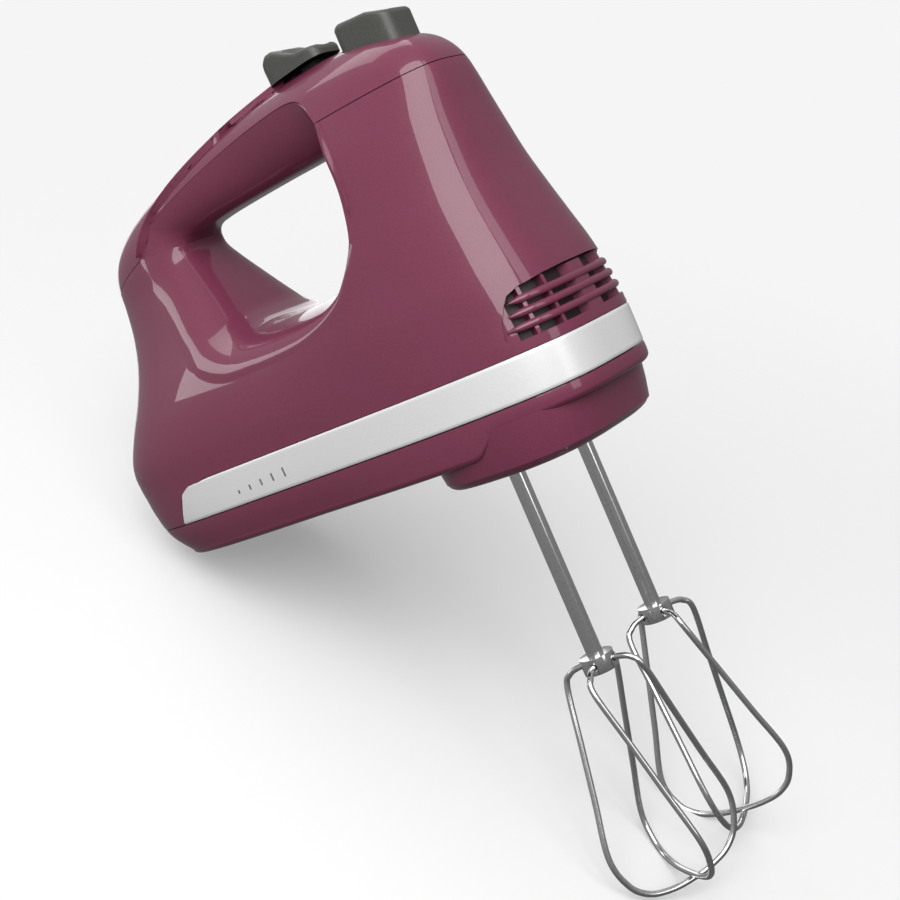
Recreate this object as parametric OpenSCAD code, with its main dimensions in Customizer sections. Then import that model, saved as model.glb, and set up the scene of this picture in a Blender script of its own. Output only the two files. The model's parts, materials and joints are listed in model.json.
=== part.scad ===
// Hand mixer with two wire beaters.
// Frame: origin on the flat underside of the chin, midway between the two beater axes.
// +X points to the nose, +Y to the left, +Z up to the handle. Lengths are in millimetres.

/* [Body] */
// Length of the body from the nose to the tail
body_length = 216; // [180:1:260]
// Width of the body at the trim band
body_width = 86; // [72:1:104]
// Height of the body from the underside to the top of the handle
body_height = 153; // [136:1:184]
// Distance from the beater axes to the nose
nose_reach = 42; // [40:1:50]
// Wall thickness of the mouldings
wall = 2.4; // [2:0.1:3]
// Open line between two mouldings where they meet
seam_gap = 0.3; // [0.2:0.1:0.5]

/* [Trim band] */
// Height of the trim band
band_height = 14.4; // [12:0.2:17.2]
// Thickness of the trim band
band_thickness = 1.0; // [0.8:0.1:1.2]
// Distance from the tail to the back end of the trim band
band_setback = 26; // [22:1:32]

/* [Beaters] */
// Diameter of a beater shaft
beater_shaft_d = 5.8; // [4.8:0.1:7]
// Distance from the underside to the top of a beater collar
beater_drop = 69; // [60:1:80]
// Diameter of a beater collar
collar_d = 12.2; // [11:0.1:14]
// Height of a beater collar
collar_h = 5.8; // [5:0.1:7]
// Diameter of the beater wire
wire_d = 2.2; // [1.8:0.1:2.6]
// Largest radius of the wire loops
loop_r = 24.5; // [20:0.5:26]
// Height of the wire loops below the collar
loop_h = 83; // [70:1:99]

/* [Gear train] */
// Tooth module of the worm and the worm gears
gear_module = 1; // [0.9:0.05:1.1]
// Smallest pitch radius of the worm
worm_pitch_min = 7.5; // [7:0.1:8]
// Face width of a worm gear
gear_face = 7; // [6:0.5:8]
// Wall thickness of a spindle tube
spindle_wall = 1.6; // [1.4:0.1:2]

/* [Motor] */
// Radius of the armature core
armature_r = 17.2; // [14.4:0.1:17.4]
// Length of the laminated cores
core_length = 40; // [34:1:48]
// Diameter of the armature shaft
armature_shaft_d = 6; // [5:0.1:7.2]

/* [Controls] */
// Length of the speed slider knob
slider_length = 27; // [24:1:30]
// Width of the speed slider knob
slider_width = 17; // [15:1:19]
// Travel of the speed slider from off to the fastest speed
slider_travel = 12; // [10:1:13]
// Length of the ejector button
button_length = 25; // [22:1:27]
// Width of the ejector button
button_width = 18; // [16:1:20]
// Travel of the ejector button
button_travel = 6; // [5:0.5:7]

/* [Hidden] */

// Clearances
running_gap = 0.05;     // radial, for a shaft in its bearing
free_gap = 0.5;         // between pieces that move past each other
fit_gap = 0.2;          // between a piece and the recess that holds it
push_gap = 0.3;         // between an ejector pin and the top of a beater shaft
gear_wall_gap = 1.5;    // between a worm gear and the housing wall

// Gear teeth, in modules
TOOTH_HEAD = 0.9;       // height of a tooth above the pitch circle
TOOTH_FOOT = 1.2;       // depth of the space below it

// Colours
paint = [0.42, 0.18, 0.29];
satin_silver = [0.80, 0.80, 0.80];
graphite = [0.22, 0.22, 0.21];
stainless = [0.74, 0.74, 0.75];
zinc = [0.62, 0.63, 0.65];
bronze = [0.66, 0.47, 0.25];
steel = [0.55, 0.56, 0.58];
copper = [0.72, 0.40, 0.22];
nylon = [0.90, 0.88, 0.80];
moulded_black = [0.10, 0.10, 0.10];

// Body stations, from the underside up. Each row holds the height, the setback from the nose,
// the setback from the tail, the front and the rear half width, and the tail's squareness.
// Lengths belong to a body 216 long, 86 wide and 153 high; the functions below adapt them.
STATIONS = [
    [8, 0, 14, 42.5, 40, 5],
    [20, 0, 4, 43, 42.5, 5],
    [37.5, 0, 0, 43, 43, 5],
    [48, 1, 0, 42.5, 42.5, 5],
    [60, 3, 5, 41.5, 40, 4.6],
    [72, 6, 11, 39.5, 36, 4.2],
    [84, 9, 14, 37.5, 31, 3.8],
    [96, 11.5, 14.5, 35, 26.5, 3.4],
    [108, 13, 14, 32.5, 22.5, 3.2],
    [118, 14, 14, 30, 20.5, 3],
    [126, 14.5, 18, 27, 19, 2.8],
    [133, 15.5, 27, 24, 17, 2.6],
    [139, 18.5, 43, 21, 15, 2.6],
    [144, 24, 64, 17.5, 12.5, 2.6],
    [148.5, 35, 90, 12.5, 9, 2.6],
    [151.5, 52, 117, 7, 5.5, 2.6],
    [153, 66, 132, 3, 3, 2.6]];
STATION_LENGTH = 216;
STATION_HALF_WIDTH = 43;
STATION_HEIGHT = 153;
FIXED_HEIGHT = 48;      // below this height the stations keep their own heights
NOSE_SQUARENESS = 3.4;
RING_POINTS = 44;

tail_x = nose_reach - body_length;
half_width = body_width / 2;
length_scale = body_length / STATION_LENGTH;
width_scale = half_width / STATION_HALF_WIDTH;
height_scale = (body_height - FIXED_HEIGHT) / (STATION_HEIGHT - FIXED_HEIGHT);

// A height or a length written for the station body, moved to this body
function up(z) = z < FIXED_HEIGHT ? z : FIXED_HEIGHT + (z - FIXED_HEIGHT) * height_scale;
function along(x) = nose_reach - (42 - x) * length_scale;

function station_below(z) = max([for (i = [0:len(STATIONS) - 2]) if (z >= STATIONS[i][0] || i == 0) i]);
function smooth_value(z, c) =
    let (i = station_below(z), n = len(STATIONS) - 1,
        a = STATIONS[max(i - 1, 0)], b = STATIONS[i], d = STATIONS[i + 1], e = STATIONS[min(i + 2, n)],
        h = d[0] - b[0], t = (z - b[0]) / h,
        m = (d[c] - a[c]) / (d[0] - a[0]) * h, k = (e[c] - b[c]) / (e[0] - b[0]) * h)
    (2 * t * t * t - 3 * t * t + 1) * b[c] + (t * t * t - 2 * t * t + t) * m
    + (3 * t * t - 2 * t * t * t) * d[c] + (t * t * t - t * t) * k;

function ease(t) = let (k = min(max(t, 0), 1)) k * k * (3 - 2 * k);

// One level outline of the body at station height z, moved outward by grow
function body_ring(z, grow) =
    let (front = nose_reach - smooth_value(z, 1) + grow,
        back = tail_x + smooth_value(z, 2) * length_scale - grow,
        wide_front = smooth_value(z, 3) * width_scale + grow,
        wide_back = smooth_value(z, 4) * width_scale + grow,
        tail_square = smooth_value(z, 5),
        mid = (front + back) / 2, reach = (front - back) / 2)
    [for (k = [0:RING_POINTS - 1])
        let (t = 360 * k / RING_POINTS, c = cos(t), s = sin(t),
            square = c > 0 ? NOSE_SQUARENESS : tail_square,
            x = mid + reach * sign(c) * pow(abs(c), 2 / square),
            blend = ease((x - along(-80)) / (along(-20) - along(-80))),
            wide = wide_back + (wide_front - wide_back) * blend)
        [x, wide * sign(s) * pow(abs(s), 2 / square)]];

// A solid through a list of [height, outline] levels that all have the same number of points
module level_loft(levels) {
    n = len(levels[0][1]);
    last = len(levels) - 1;
    points = [for (level = levels) for (p = level[1]) [p[0], p[1], level[0]]];
    sides = [for (i = [0:last - 1]) for (k = [0:n - 1])
        [i * n + k, (i + 1) * n + k, (i + 1) * n + (k + 1) % n, i * n + (k + 1) % n]];
    polyhedron(points = points, faces = concat([[for (k = [0:n - 1]) k]], sides,
        [[for (k = [n - 1:-1:0]) last * n + k]]), convexity = 8);
}

// Station heights between two limits, with one more level halfway between each pair
function heights(low, high) = concat([low],
    [for (i = [0:len(STATIONS) - 2]) for (h = [STATIONS[i][0], (STATIONS[i][0] + STATIONS[i + 1][0]) / 2])
        if (h > low + 1 && h < high - 1) h], [high]);

module body_solid(low, high, grow) {
    level_loft([for (z = heights(low, high)) [up(z), body_ring(z, grow)]]);
}

// The space inside the walls; its roof lies one wall below the outside
CROWN_START = 112;
module body_cavity(low) {
    level_loft([for (z = heights(low, STATION_HEIGHT - 2))
        [up(z) - wall * ease((z - CROWN_START) / 20), body_ring(z, -wall)]]);
}

// Lines in the side view, as [x, z]
SEAM = [[-130, 121.5], [-128, 125.5], [-122, 130], [-110, 134], [-97, 137], [-78, 140.5], [-60, 142.5],
    [-40, 143.5], [-31, 143], [-25, 141], [-21.5, 137.5], [-19, 133.5], [-17.5, 131.5], [3, 132.2], [23, 133],
    [60, 134]];
SEAM_TAIL = [-200, 99];
function side_line(line) = [for (p = line) [along(p[0]), up(p[1])]];

module across(width) {
    rotate([90, 0, 0]) linear_extrude(height = width, center = true) children();
}

module above_seam(lift) {
    line = concat([SEAM_TAIL], SEAM);
    across(2 * body_width) polygon(concat([for (p = side_line(line)) [p[0], p[1] + lift]],
        [[along(60), 2 * body_height], [along(-200), 2 * body_height]]));
}

// Finger opening through the handle. Each row pairs a point of the opening's edge on the outside
// of the body with the point of its narrow middle that it runs in to, as [x, z, x, z].
OPENING = [[-18, 130, -14, 121.5], [-14.6, 111, -12.6, 108], [-15.4, 91.6, -16.5, 92],
    [-22.4, 79.8, -24, 83], [-36.8, 69.6, -36, 78.6], [-57.6, 65, -56, 77.6], [-88.4, 65.1, -82, 79],
    [-97.5, 66.8, -88, 81.2], [-111.2, 75.2, -95, 87], [-120.5, 92.7, -103.5, 101.5],
    [-126.5, 106, -109.5, 113], [-128.5, 118, -111, 119.5], [-121, 128, -103, 122], [-109, 132, -95, 122.5],
    [-77, 138, -68, 123], [-58, 140.5, -52, 123], [-32, 141.2, -26, 122.9], [-22, 136, -17, 122.3]];
OPENING_MIDDLE = [-60, 100];
FLAT_HALF = 7;          // half width of the straight middle
OPENING_STEPS = [0, 0.3, 0.55, 0.76, 0.92, 1, 1.12];

// Half width of the body at a station point [x, z]
function side_reach(x, z) =
    let (front = nose_reach - smooth_value(z, 1), back = tail_x + smooth_value(z, 2) * length_scale,
        mid = (front + back) / 2, far = min(0.98, abs(x - mid) / (front - back) * 2),
        square = x > mid ? NOSE_SQUARENESS : smooth_value(z, 5),
        blend = ease((x - along(-80)) / (along(-20) - along(-80))),
        wide_front = smooth_value(z, 3) * width_scale, wide_back = smooth_value(z, 4) * width_scale)
    (wide_back + (wide_front - wide_back) * blend) * pow(1 - pow(far, square), 1 / square);

// The opening's outline across the body at a distance y from the middle; it widens to the sides
// along a rounded lip. Grow makes it larger, for the inside of the wall.
function opening_slice(y, grow) =
    [for (k = [len(OPENING) - 1:-1:0])
        let (p = OPENING[k], lip = side_reach(along(p[0]), p[1]), t = min(max((y + grow - FLAT_HALF) / (lip - FLAT_HALF), 0), 1),
            out = 1 - sqrt(1 - t * t), inner = [along(p[2]), up(p[3])], outer = [along(p[0]), up(p[1])],
            at = inner + (outer - inner) * out, away = outer - [along(OPENING_MIDDLE[0]), up(OPENING_MIDDLE[1])])
        at + grow * away / norm(away)];
module finger_opening(grow) {
    span = half_width - FLAT_HALF - 2;
    distances = [for (t = OPENING_STEPS) FLAT_HALF + t * span];
    rotate([90, 0, 0])
        level_loft(concat([for (k = [len(distances) - 1:-1:0]) [-distances[k], opening_slice(distances[k], grow)]],
            [for (d = distances) [d, opening_slice(d, grow)]]));
}

// Levels of the lower body
chin_z = 13;
floor_z = 8;
seam_z = 21.4;
band_top = seam_z + band_height;
chin_back = -24;

// Beater axes, worked out from the space between the walls
inner_middle = (nose_reach + tail_x) / 2;
inner_reach = body_length / 2 - wall;
inner_wall_y = (half_width - wall)
    * pow(1 - pow(abs(inner_middle) / inner_reach, NOSE_SQUARENESS), 1 / NOSE_SQUARENESS);
beater_spacing = inner_wall_y + worm_pitch_min - TOOTH_HEAD * gear_module - gear_wall_gap;
axis_y = floor(5 * beater_spacing) / 10;
gear_teeth = floor(2 * (axis_y - worm_pitch_min) / gear_module);
gear_pitch_r = gear_teeth * gear_module / 2;
worm_pitch_r = axis_y - gear_pitch_r;
gear_outer_r = gear_pitch_r + TOOTH_HEAD * gear_module;
worm_outer_r = worm_pitch_r + TOOTH_HEAD * gear_module;
worm_root_r = worm_pitch_r - TOOTH_FOOT * gear_module;
WORM_STARTS = 2;

shaft_r = beater_shaft_d / 2;
spindle_bore = shaft_r + running_gap;
spindle_r = spindle_bore + spindle_wall;
bush_wall = 2;
bush_r = spindle_r + running_gap + bush_wall;
chin_hole_r = spindle_r + free_gap;

motor_z = 42;           // height of the armature axis
spindle_low = 6;
spindle_high = 66;
plate_z = 17;           // underside of the gear frame's lower plate
plate_h = 4;
bridge_z = 57;          // underside of the gear frame's upper bridge
bridge_h = 5;
frame_back = -26;
frame_front = 19;
post_x = gear_outer_r - 2.8;
frame_half = axis_y + bush_r + 2.5;
boss_r = 4;
screw_r = 1.5;
frame_boss = [[-17.5, frame_half - boss_r], [frame_front - boss_r, frame_half - boss_r]];

shaft_low = -core_length - 68;
core_back = -34 - core_length;
stator_half_y = armature_r + 10;
stator_half_z = armature_r + 4.8;
bore_gap = 0.8;
coil_depth = 4;
armature_shaft_r = armature_shaft_d / 2;
bearing_r = armature_shaft_r + running_gap + 3;
bracket_x = core_back - 27;
fan_r = 19;
fan_x = 22;
fan_w = 7;

// Chin block: narrower than the body, with a lip of the body standing out above it
CHIN_STATIONS = [[0, 12.6, 9], [1.2, 9.5, 6.5], [4, 7.8, 4.8], [9, 6.8, 3.6], [14.6, 6.1, 2.4], [17, 6, 2.2]];
lip_z = 15;
chin_half = half_width - 1.5;
function chin_ring(inset_x, inset_y, grow) =
    let (front = nose_reach + 0.6 - inset_x + grow, back = chin_back + inset_x * 0.4 - grow,
        wide = chin_half - inset_y + grow)
    [for (k = [0:RING_POINTS - 1])
        let (t = 360 * k / RING_POINTS, c = cos(t), s = sin(t))
        [(front + back) / 2 + (front - back) / 2 * sign(c) * pow(abs(c), 2 / 2.7), wide * sign(s) * pow(abs(s), 2 / 3)]];
module chin_solid(grow, low, high) {
    level_loft([for (s = CHIN_STATIONS) if (s[0] >= low && s[0] <= high) [s[0], chin_ring(s[1], s[2], grow)]]);
}
module chin_cavity() {
    level_loft([for (s = CHIN_STATIONS) [s[0] + wall, chin_ring(s[1], s[2], -wall)]]);
}
// Everything above the body's underside, which steps up to the lip over the chin
module above_underside(lift) {
    across(2 * body_width) polygon([[2 * tail_x, 1 + lift], [-8, 1 + lift], [12, lip_z + lift],
        [2 * nose_reach, lip_z + lift], [2 * nose_reach, 2 * seam_z], [2 * tail_x, 2 * seam_z]]);
}

module main_housing() {
    color(paint)
    difference() {
        body_solid(seam_z + seam_gap, STATION_HEIGHT, 0);
        difference() {
            body_cavity(seam_z - 4);
            finger_opening(wall);
        }
        above_seam(0);
        finger_opening(0);
        band_recess();
        vent_slots();
        translate([tail_x - 5, 0, gland_z]) rotate([0, 90, 0]) {
            cylinder(r = gland_r + fit_gap, h = 25, $fn = 32);
            cylinder(r = gland_r + 2 + fit_gap, h = 5 + flange_sunk, $fn = 32);
        }
    }
}

// Air slots: four rows on each side of the nose. Each slot has its turn round the beater plane
// and half the distance between the middles of its round ends.
VENT_ROWS = [40.9, 44.8, 48.9, 52.8];
VENT_SLOTS = [[17.5, 4.2], [32, 2.4], [42, 0.6]];
VENT_R = 1.1;
module vent_slots() {
    for (z = VENT_ROWS, slot = VENT_SLOTS, side = [-1, 1])
        rotate([0, 0, side * slot[0]]) translate([nose_reach - 14, 0, up(z)]) rotate([0, 90, 0])
            hull() for (end = [-1, 1]) translate([0, end * slot[1], 0]) cylinder(r = VENT_R, h = 30, $fn = 12);
}

module band_shape(grow, deep) {
    length = body_length - band_setback + 20;
    round_r = band_height * 0.45;
    intersection() {
        difference() {
            level_loft([for (z = [seam_z - 2, 28, band_top + 2]) [z, body_ring(z, 0.15)]]);
            level_loft([for (z = [seam_z - 3, 28, band_top + 3]) [z, body_ring(z, 0.15 - band_thickness - deep)]]);
        }
        across(2 * body_width) translate([tail_x + band_setback, seam_z])
            polygon([[-grow, seam_gap - grow], [length, seam_gap - grow], [length, band_height + grow],
                [round_r, band_height + grow], [round_r / 3, band_height - round_r / 4 + grow],
                [-grow, band_height - round_r]]);
    }
}
module band_recess() {
    band_shape(fit_gap, fit_gap / 2);
}
module trim_band() {
    color(satin_silver) band_shape(0, 0);
}

module top_cover() {
    color(paint)
    difference() {
        intersection() {
            body_solid(100, STATION_HEIGHT, 0);
            above_seam(seam_gap);
        }
        body_cavity(98);
        slider_slot();
        button_hole();
    }
}

module bottom_housing() {
    color(paint)
    difference() {
        union() {
            difference() {
                union() {
                    intersection() {
                        body_solid(floor_z, seam_z, 0);
                        above_underside(0);
                    }
                    chin_solid(0, 0, 17);
                }
                intersection() {
                    level_loft([for (z = [floor_z, 20, seam_z]) [z + wall, body_ring(z, -wall)]]);
                    above_underside(wall);
                }
                chin_cavity();
            }
            for (p = frame_boss, side = [-1, 1])
                translate([p[0], side * p[1], 1]) hull() {
                    cylinder(r = boss_r, h = plate_z - 1, $fn = 24);
                    cylinder(r = boss_r + 0.8, h = 3, $fn = 24);
                }
            for (p = body_boss, side = [-1, 1])
                translate([p, side * body_boss_y, floor_z + 1]) hull() {
                    cylinder(r = boss_r, h = seam_z - floor_z - 1, $fn = 24);
                    cylinder(r = boss_r + 0.8, h = 3, $fn = 24);
                }
        }
        for (side = [-1, 1])
            translate([0, side * axis_y, -5]) cylinder(r = chin_hole_r, h = 20, $fn = 40);
        for (p = body_boss, side = [-1, 1]) translate([p, side * body_boss_y, floor_z - 1]) {
            cylinder(r = screw_head_r + fit_gap, h = 4, $fn = 24);
            cylinder(r = screw_r + fit_gap, h = 20, $fn = 24);
        }
        for (p = frame_boss, side = [-1, 1])
            translate([p[0], side * p[1], 5]) cylinder(r = screw_r, h = 20, $fn = 24);
    }
}
body_boss = [along(-60), along(-140)];
body_boss_y = half_width - wall - boss_r - 3;
screw_head_r = 2.8;

// Gear frame: one zinc casting that carries the spindles and the front bearing
module gear_frame() {
    color(zinc)
    difference() {
        union() {
            translate([frame_back, -frame_half, plate_z])
                cube([frame_front - frame_back, 2 * frame_half, plate_h]);
            translate([frame_back, -frame_half, plate_z]) cube([4, 2 * frame_half, bridge_z + bridge_h - plate_z]);
            translate([frame_back, -frame_half, bridge_z]) cube([frame_front - 9 - frame_back, 2 * frame_half, bridge_h]);
            translate([post_x, -bearing_r - 1, plate_z])
                cube([frame_front - post_x, 2 * bearing_r + 2, motor_z + bearing_r + 2 - plate_z]);
            for (side = [-1, 1]) translate([0, side * axis_y, plate_z - 3]) cylinder(r = bush_r + 2, h = plate_h + 3);
        }
        for (side = [-1, 1]) {
            translate([0, side * axis_y, plate_z - 5]) cylinder(r = bush_r, h = 60, $fn = 48);
            for (p = frame_boss)
                translate([p[0], side * p[1], plate_z - 1]) cylinder(r = screw_r + fit_gap, h = plate_h + 2, $fn = 24);
        }
        translate([frame_back - 1, 0, motor_z]) rotate([0, 90, 0]) cylinder(r = armature_shaft_r + 3, h = 20);
        translate([post_x - 1, 0, motor_z]) rotate([0, 90, 0]) cylinder(r = bearing_r, h = 20, $fn = 48);
        translate([0, 0, bridge_z - 1]) cylinder(r = rod_r + free_gap, h = 20, $fn = 32);
        for (s = [-1, 1])
            translate([frame_back - 1, s * stator_screw_y, motor_z + s * stator_screw_z])
                rotate([0, 90, 0]) cylinder(r = screw_r, h = 6, $fn = 24);
    }
}
rod_r = 3;
stator_screw_y = stator_half_y - 3.2;
stator_screw_z = stator_half_z - 3.2;

module spindle_bush(side, low, high) {
    color(bronze) translate([0, side * axis_y, low])
        difference() {
            cylinder(r = bush_r, h = high - low, $fn = 64);
            translate([0, 0, -1]) cylinder(r = spindle_r + running_gap, h = high - low + 2, $fn = 64);
        }
}
module left_lower_bush() spindle_bush(1, plate_z - 3, plate_z + plate_h);
module right_lower_bush() spindle_bush(-1, plate_z - 3, plate_z + plate_h);
module left_upper_bush() spindle_bush(1, bridge_z, bridge_z + bridge_h);
module right_upper_bush() spindle_bush(-1, bridge_z, bridge_z + bridge_h);

module axial(x) {
    translate([x, 0, motor_z]) rotate([0, 90, 0]) children();
}
module shaft_bearing(x, length) {
    color(bronze) axial(x)
        difference() {
            cylinder(r = bearing_r, h = length, $fn = 64);
            translate([0, 0, -1]) cylinder(r = armature_shaft_r + running_gap, h = length + 2, $fn = 64);
        }
}
module front_bearing() shaft_bearing(post_x, frame_front - post_x);
module rear_bearing() shaft_bearing(bracket_x - 3, 8);

// Rear bracket: carries the rear bearing and both brush holders
bracket_thick = 4;
brush_x = core_back - 15.5;
commutator_r = 9;
holder_w = 9;
holder_low = commutator_r + 2;
holder_high = stator_half_y - 1;
module rear_bracket() {
    color(moulded_black)
    difference() {
        union() {
            translate([bracket_x - bracket_thick / 2, -stator_half_y, motor_z - stator_half_z])
                cube([bracket_thick, 2 * stator_half_y, 2 * stator_half_z]);
            for (s = [-1, 1])
                translate([bracket_x, s > 0 ? holder_low : -holder_high, motor_z - holder_w / 2 - 2.5])
                    cube([brush_x + holder_w / 2 - bracket_x, holder_high - holder_low, 2.5]);
        }
        axial(bracket_x - 10) cylinder(r = bearing_r, h = 20, $fn = 48);
        for (s = [-1, 1])
            translate([bracket_x - 5, s * stator_screw_y, motor_z + s * stator_screw_z])
                rotate([0, 90, 0]) cylinder(r = screw_r + fit_gap, h = 10, $fn = 24);
    }
}

// A wedge in the plane across the motor axis, from angle a to angle b
module sector(a, b, reach) {
    polygon([[0, 0], [reach * cos(a), reach * sin(a)], [reach * cos((a + b) / 2), reach * sin((a + b) / 2)],
        [reach * cos(b), reach * sin(b)]]);
}
// A curved bar round the motor axis: turn 0 points to the left, 90 points up
module arc_bar(x, length, r_in, r_out, a, b) {
    translate([x, 0, motor_z]) rotate([90, 0, 90]) linear_extrude(height = length)
        intersection() {
            difference() {
                circle(r = r_out, $fn = 64);
                circle(r = r_in, $fn = 64);
            }
            sector(a, b, 3 * r_out);
        }
}
coil_in = armature_r + bore_gap + 0.2;
coil_out = coil_in + coil_depth - 0.4;
POLE_EDGE = [22, 50];
module field_stator() {
    color(steel)
    difference() {
        translate([core_back, -stator_half_y, motor_z - stator_half_z])
            cube([core_length, 2 * stator_half_y, 2 * stator_half_z]);
        axial(core_back - 1) cylinder(r = armature_r + bore_gap, h = core_length + 2, $fn = 72);
        for (base = [0, 180], mirrored = [0, 1])
            mirror([0, mirrored, 0])
                arc_bar(core_back - 1, core_length + 2, armature_r, coil_out + 0.2,
                    base + POLE_EDGE[0] - 2, base + POLE_EDGE[1] + 2);
        for (s = [-1, 1])
            translate([core_back - 1, s * stator_screw_y, motor_z + s * stator_screw_z])
                rotate([0, 90, 0]) cylinder(r = screw_r + fit_gap, h = core_length + 2, $fn = 24);
    }
}
coil_overhang = 5;
module field_coil(base) {
    color(copper)
    difference() {
        arc_bar(core_back - coil_overhang, core_length + 2 * coil_overhang, coil_in, coil_out,
            base + POLE_EDGE[0], base + 180 - POLE_EDGE[0]);
        arc_bar(core_back - 0.2, core_length + 0.4, coil_in - 1, coil_out + 1,
            base + POLE_EDGE[1], base + 180 - POLE_EDGE[1]);
    }
}
module upper_field_coil() field_coil(0);
module lower_field_coil() field_coil(180);

module brush_holder(side) {
    color(bronze) translate([brush_x, side * (holder_low + holder_high) / 2, motor_z])
        difference() {
            cube([holder_w, holder_high - holder_low, holder_w], center = true);
            cube([holder_w - 2, holder_high - holder_low + 2, holder_w - 2], center = true);
        }
}
module left_brush_holder() brush_holder(1);
module right_brush_holder() brush_holder(-1);
brush_length = 8;
brush_start = commutator_r + 0.3;
module brush(side) {
    color(moulded_black)
        translate([brush_x, side * (brush_start + brush_length / 2), motor_z])
            cube([holder_w - 2.2, brush_length, holder_w - 2.2], center = true);
}
module left_brush() brush(1);
module right_brush() brush(-1);
module brush_spring(side) {
    coil_high = brush_start + brush_length;
    color(steel) translate([brush_x, side * coil_high, motor_z]) rotate([-side * 90, 0, 0])
        difference() {
            cylinder(r = 2.6, h = holder_high - coil_high, $fn = 24);
            translate([0, 0, -1]) cylinder(r = 1.9, h = 30, $fn = 24);
        }
}
module left_brush_spring() brush_spring(1);
module right_brush_spring() brush_spring(-1);

module armature_shaft() {
    color(steel) axial(shaft_low) cylinder(r = armature_shaft_r, h = fan_x + fan_w + 2 - shaft_low, $fn = 48);
}
SLOTS = 12;
core_hub = 8;
module armature_core() {
    color(steel) axial(core_back)
        linear_extrude(height = core_length)
            difference() {
                circle(r = armature_r, $fn = 96);
                circle(r = armature_shaft_r, $fn = 48);
                for (k = [0:SLOTS - 1]) rotate(k * 360 / SLOTS) {
                    translate([core_hub + 1.5, -1.6]) square([armature_r - core_hub - 3.5, 3.2]);
                    translate([armature_r - 3, -0.6]) square([5, 1.2]);
                }
            }
}
module armature_winding() {
    color(copper) {
        for (x = [core_back - 7, core_back + core_length])
            axial(x) difference() {
                cylinder(r = armature_r - 2.2, h = 7, $fn = 48);
                translate([0, 0, -1]) cylinder(r = armature_shaft_r, h = 9, $fn = 48);
            }
        axial(core_back - 0.5)
            for (k = [0:SLOTS - 1]) rotate(k * 360 / SLOTS)
                translate([core_hub + 1.7, -1.4, 0]) cube([armature_r - core_hub - 3.9, 2.8, core_length + 1]);
    }
}
module commutator() {
    color(copper) axial(brush_x - 6)
        linear_extrude(height = 12)
            difference() {
                circle(r = commutator_r, $fn = 72);
                circle(r = armature_shaft_r, $fn = 48);
                for (k = [0:SLOTS - 1]) rotate(k * 360 / SLOTS)
                    translate([commutator_r - 1, -0.25]) square([2, 0.5]);
            }
}
FAN_BLADES = 10;
module cooling_fan() {
    color(nylon) axial(fan_x) {
        difference() {
            union() {
                cylinder(r = 8, h = fan_w, $fn = 40);
                cylinder(r = fan_r, h = 1.2, $fn = 64);
            }
            translate([0, 0, -1]) cylinder(r = armature_shaft_r, h = fan_w + 2, $fn = 48);
        }
        for (k = [0:FAN_BLADES - 1]) rotate(k * 360 / FAN_BLADES)
            translate([7.5, -0.6, 0.6]) cube([fan_r - 8, 1.2, fan_w - 0.6]);
    }
}
module fan_shroud() {
    color(moulded_black) axial(fan_x - 2)
        difference() {
            cylinder(r = fan_r + 3, h = fan_w + 2, $fn = 64);
            translate([0, 0, 1.2]) cylinder(r = fan_r + 1.2, h = fan_w + 2, $fn = 64);
            translate([0, 0, -1]) cylinder(r = 11, h = 4, $fn = 64);
        }
}

// Worm: a two-start thread, and gears whose teeth follow its lead
worm_half = 11.5;
worm_lead = PI * gear_module * WORM_STARTS;
THREAD_TURNS_STEPS = 14;
backlash = 0.16;
function thread_turn(width) = width / worm_lead * 360;
thread_top = (0.25 * PI - 0.9 * tan(20) - backlash / 2) * gear_module;
thread_mid = (0.25 * PI - backlash / 2) * gear_module;
thread_foot = (0.25 * PI + 1.2 * tan(20) - backlash / 2) * gear_module;
module worm() {
    half = [[-thread_foot, worm_root_r], [-thread_mid, worm_pitch_r], [-thread_top, worm_outer_r],
        [thread_top, worm_outer_r], [thread_mid, worm_pitch_r], [thread_foot, worm_root_r]];
    turns = 2 * worm_half / worm_lead;
    color(steel) difference() {
        axial(-worm_half) rotate(180 - 180 * turns)
            linear_extrude(height = 2 * worm_half, twist = -360 * turns, slices = ceil(turns * THREAD_TURNS_STEPS))
                polygon([for (start = [0:WORM_STARTS - 1]) for (p = half)
                    let (a = 90 + start * 360 / WORM_STARTS + thread_turn(p[0])) [p[1] * cos(a), p[1] * sin(a)]]);
        axial(-worm_half - 1) cylinder(r = armature_shaft_r, h = 2 * worm_half + 2, $fn = 48);
    }
}
tooth_lead_turn = gear_face * WORM_STARTS * gear_module / 2 / worm_pitch_r / gear_pitch_r * 180 / PI;
module worm_gear(side) {
    pitch_turn = 360 / gear_teeth;
    half_space = 0.25 + backlash / PI;
    tooth = [[-0.27, -1.15], [-0.5 + half_space, 0], [-0.11, 0.9], [0.11, 0.9], [0.5 - half_space, 0], [0.27, -1.15]];
    gap_centre = -side * 90;
    color(nylon) translate([0, side * axis_y, motor_z])
        difference() {
            union() {
                rotate(gap_centre + pitch_turn / 2 - tooth_lead_turn / 2)
                    translate([0, 0, -gear_face / 2])
                        linear_extrude(height = gear_face, twist = -tooth_lead_turn, slices = 2)
                            polygon([for (k = [0:gear_teeth - 1]) for (p = tooth)
                                let (a = (k + p[0]) * pitch_turn, r = gear_pitch_r + p[1] * gear_module)
                                [r * cos(a), r * sin(a)]]);
                translate([0, 0, -gear_face / 2 - 4]) cylinder(r = spindle_r + 2.5, h = gear_face + 8, $fn = 40);
            }
            translate([0, 0, -gear_face / 2 - 5]) cylinder(r = spindle_r, h = gear_face + 10, $fn = 48);
        }
}
module left_worm_gear() worm_gear(1);
module right_worm_gear() worm_gear(-1);

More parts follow.
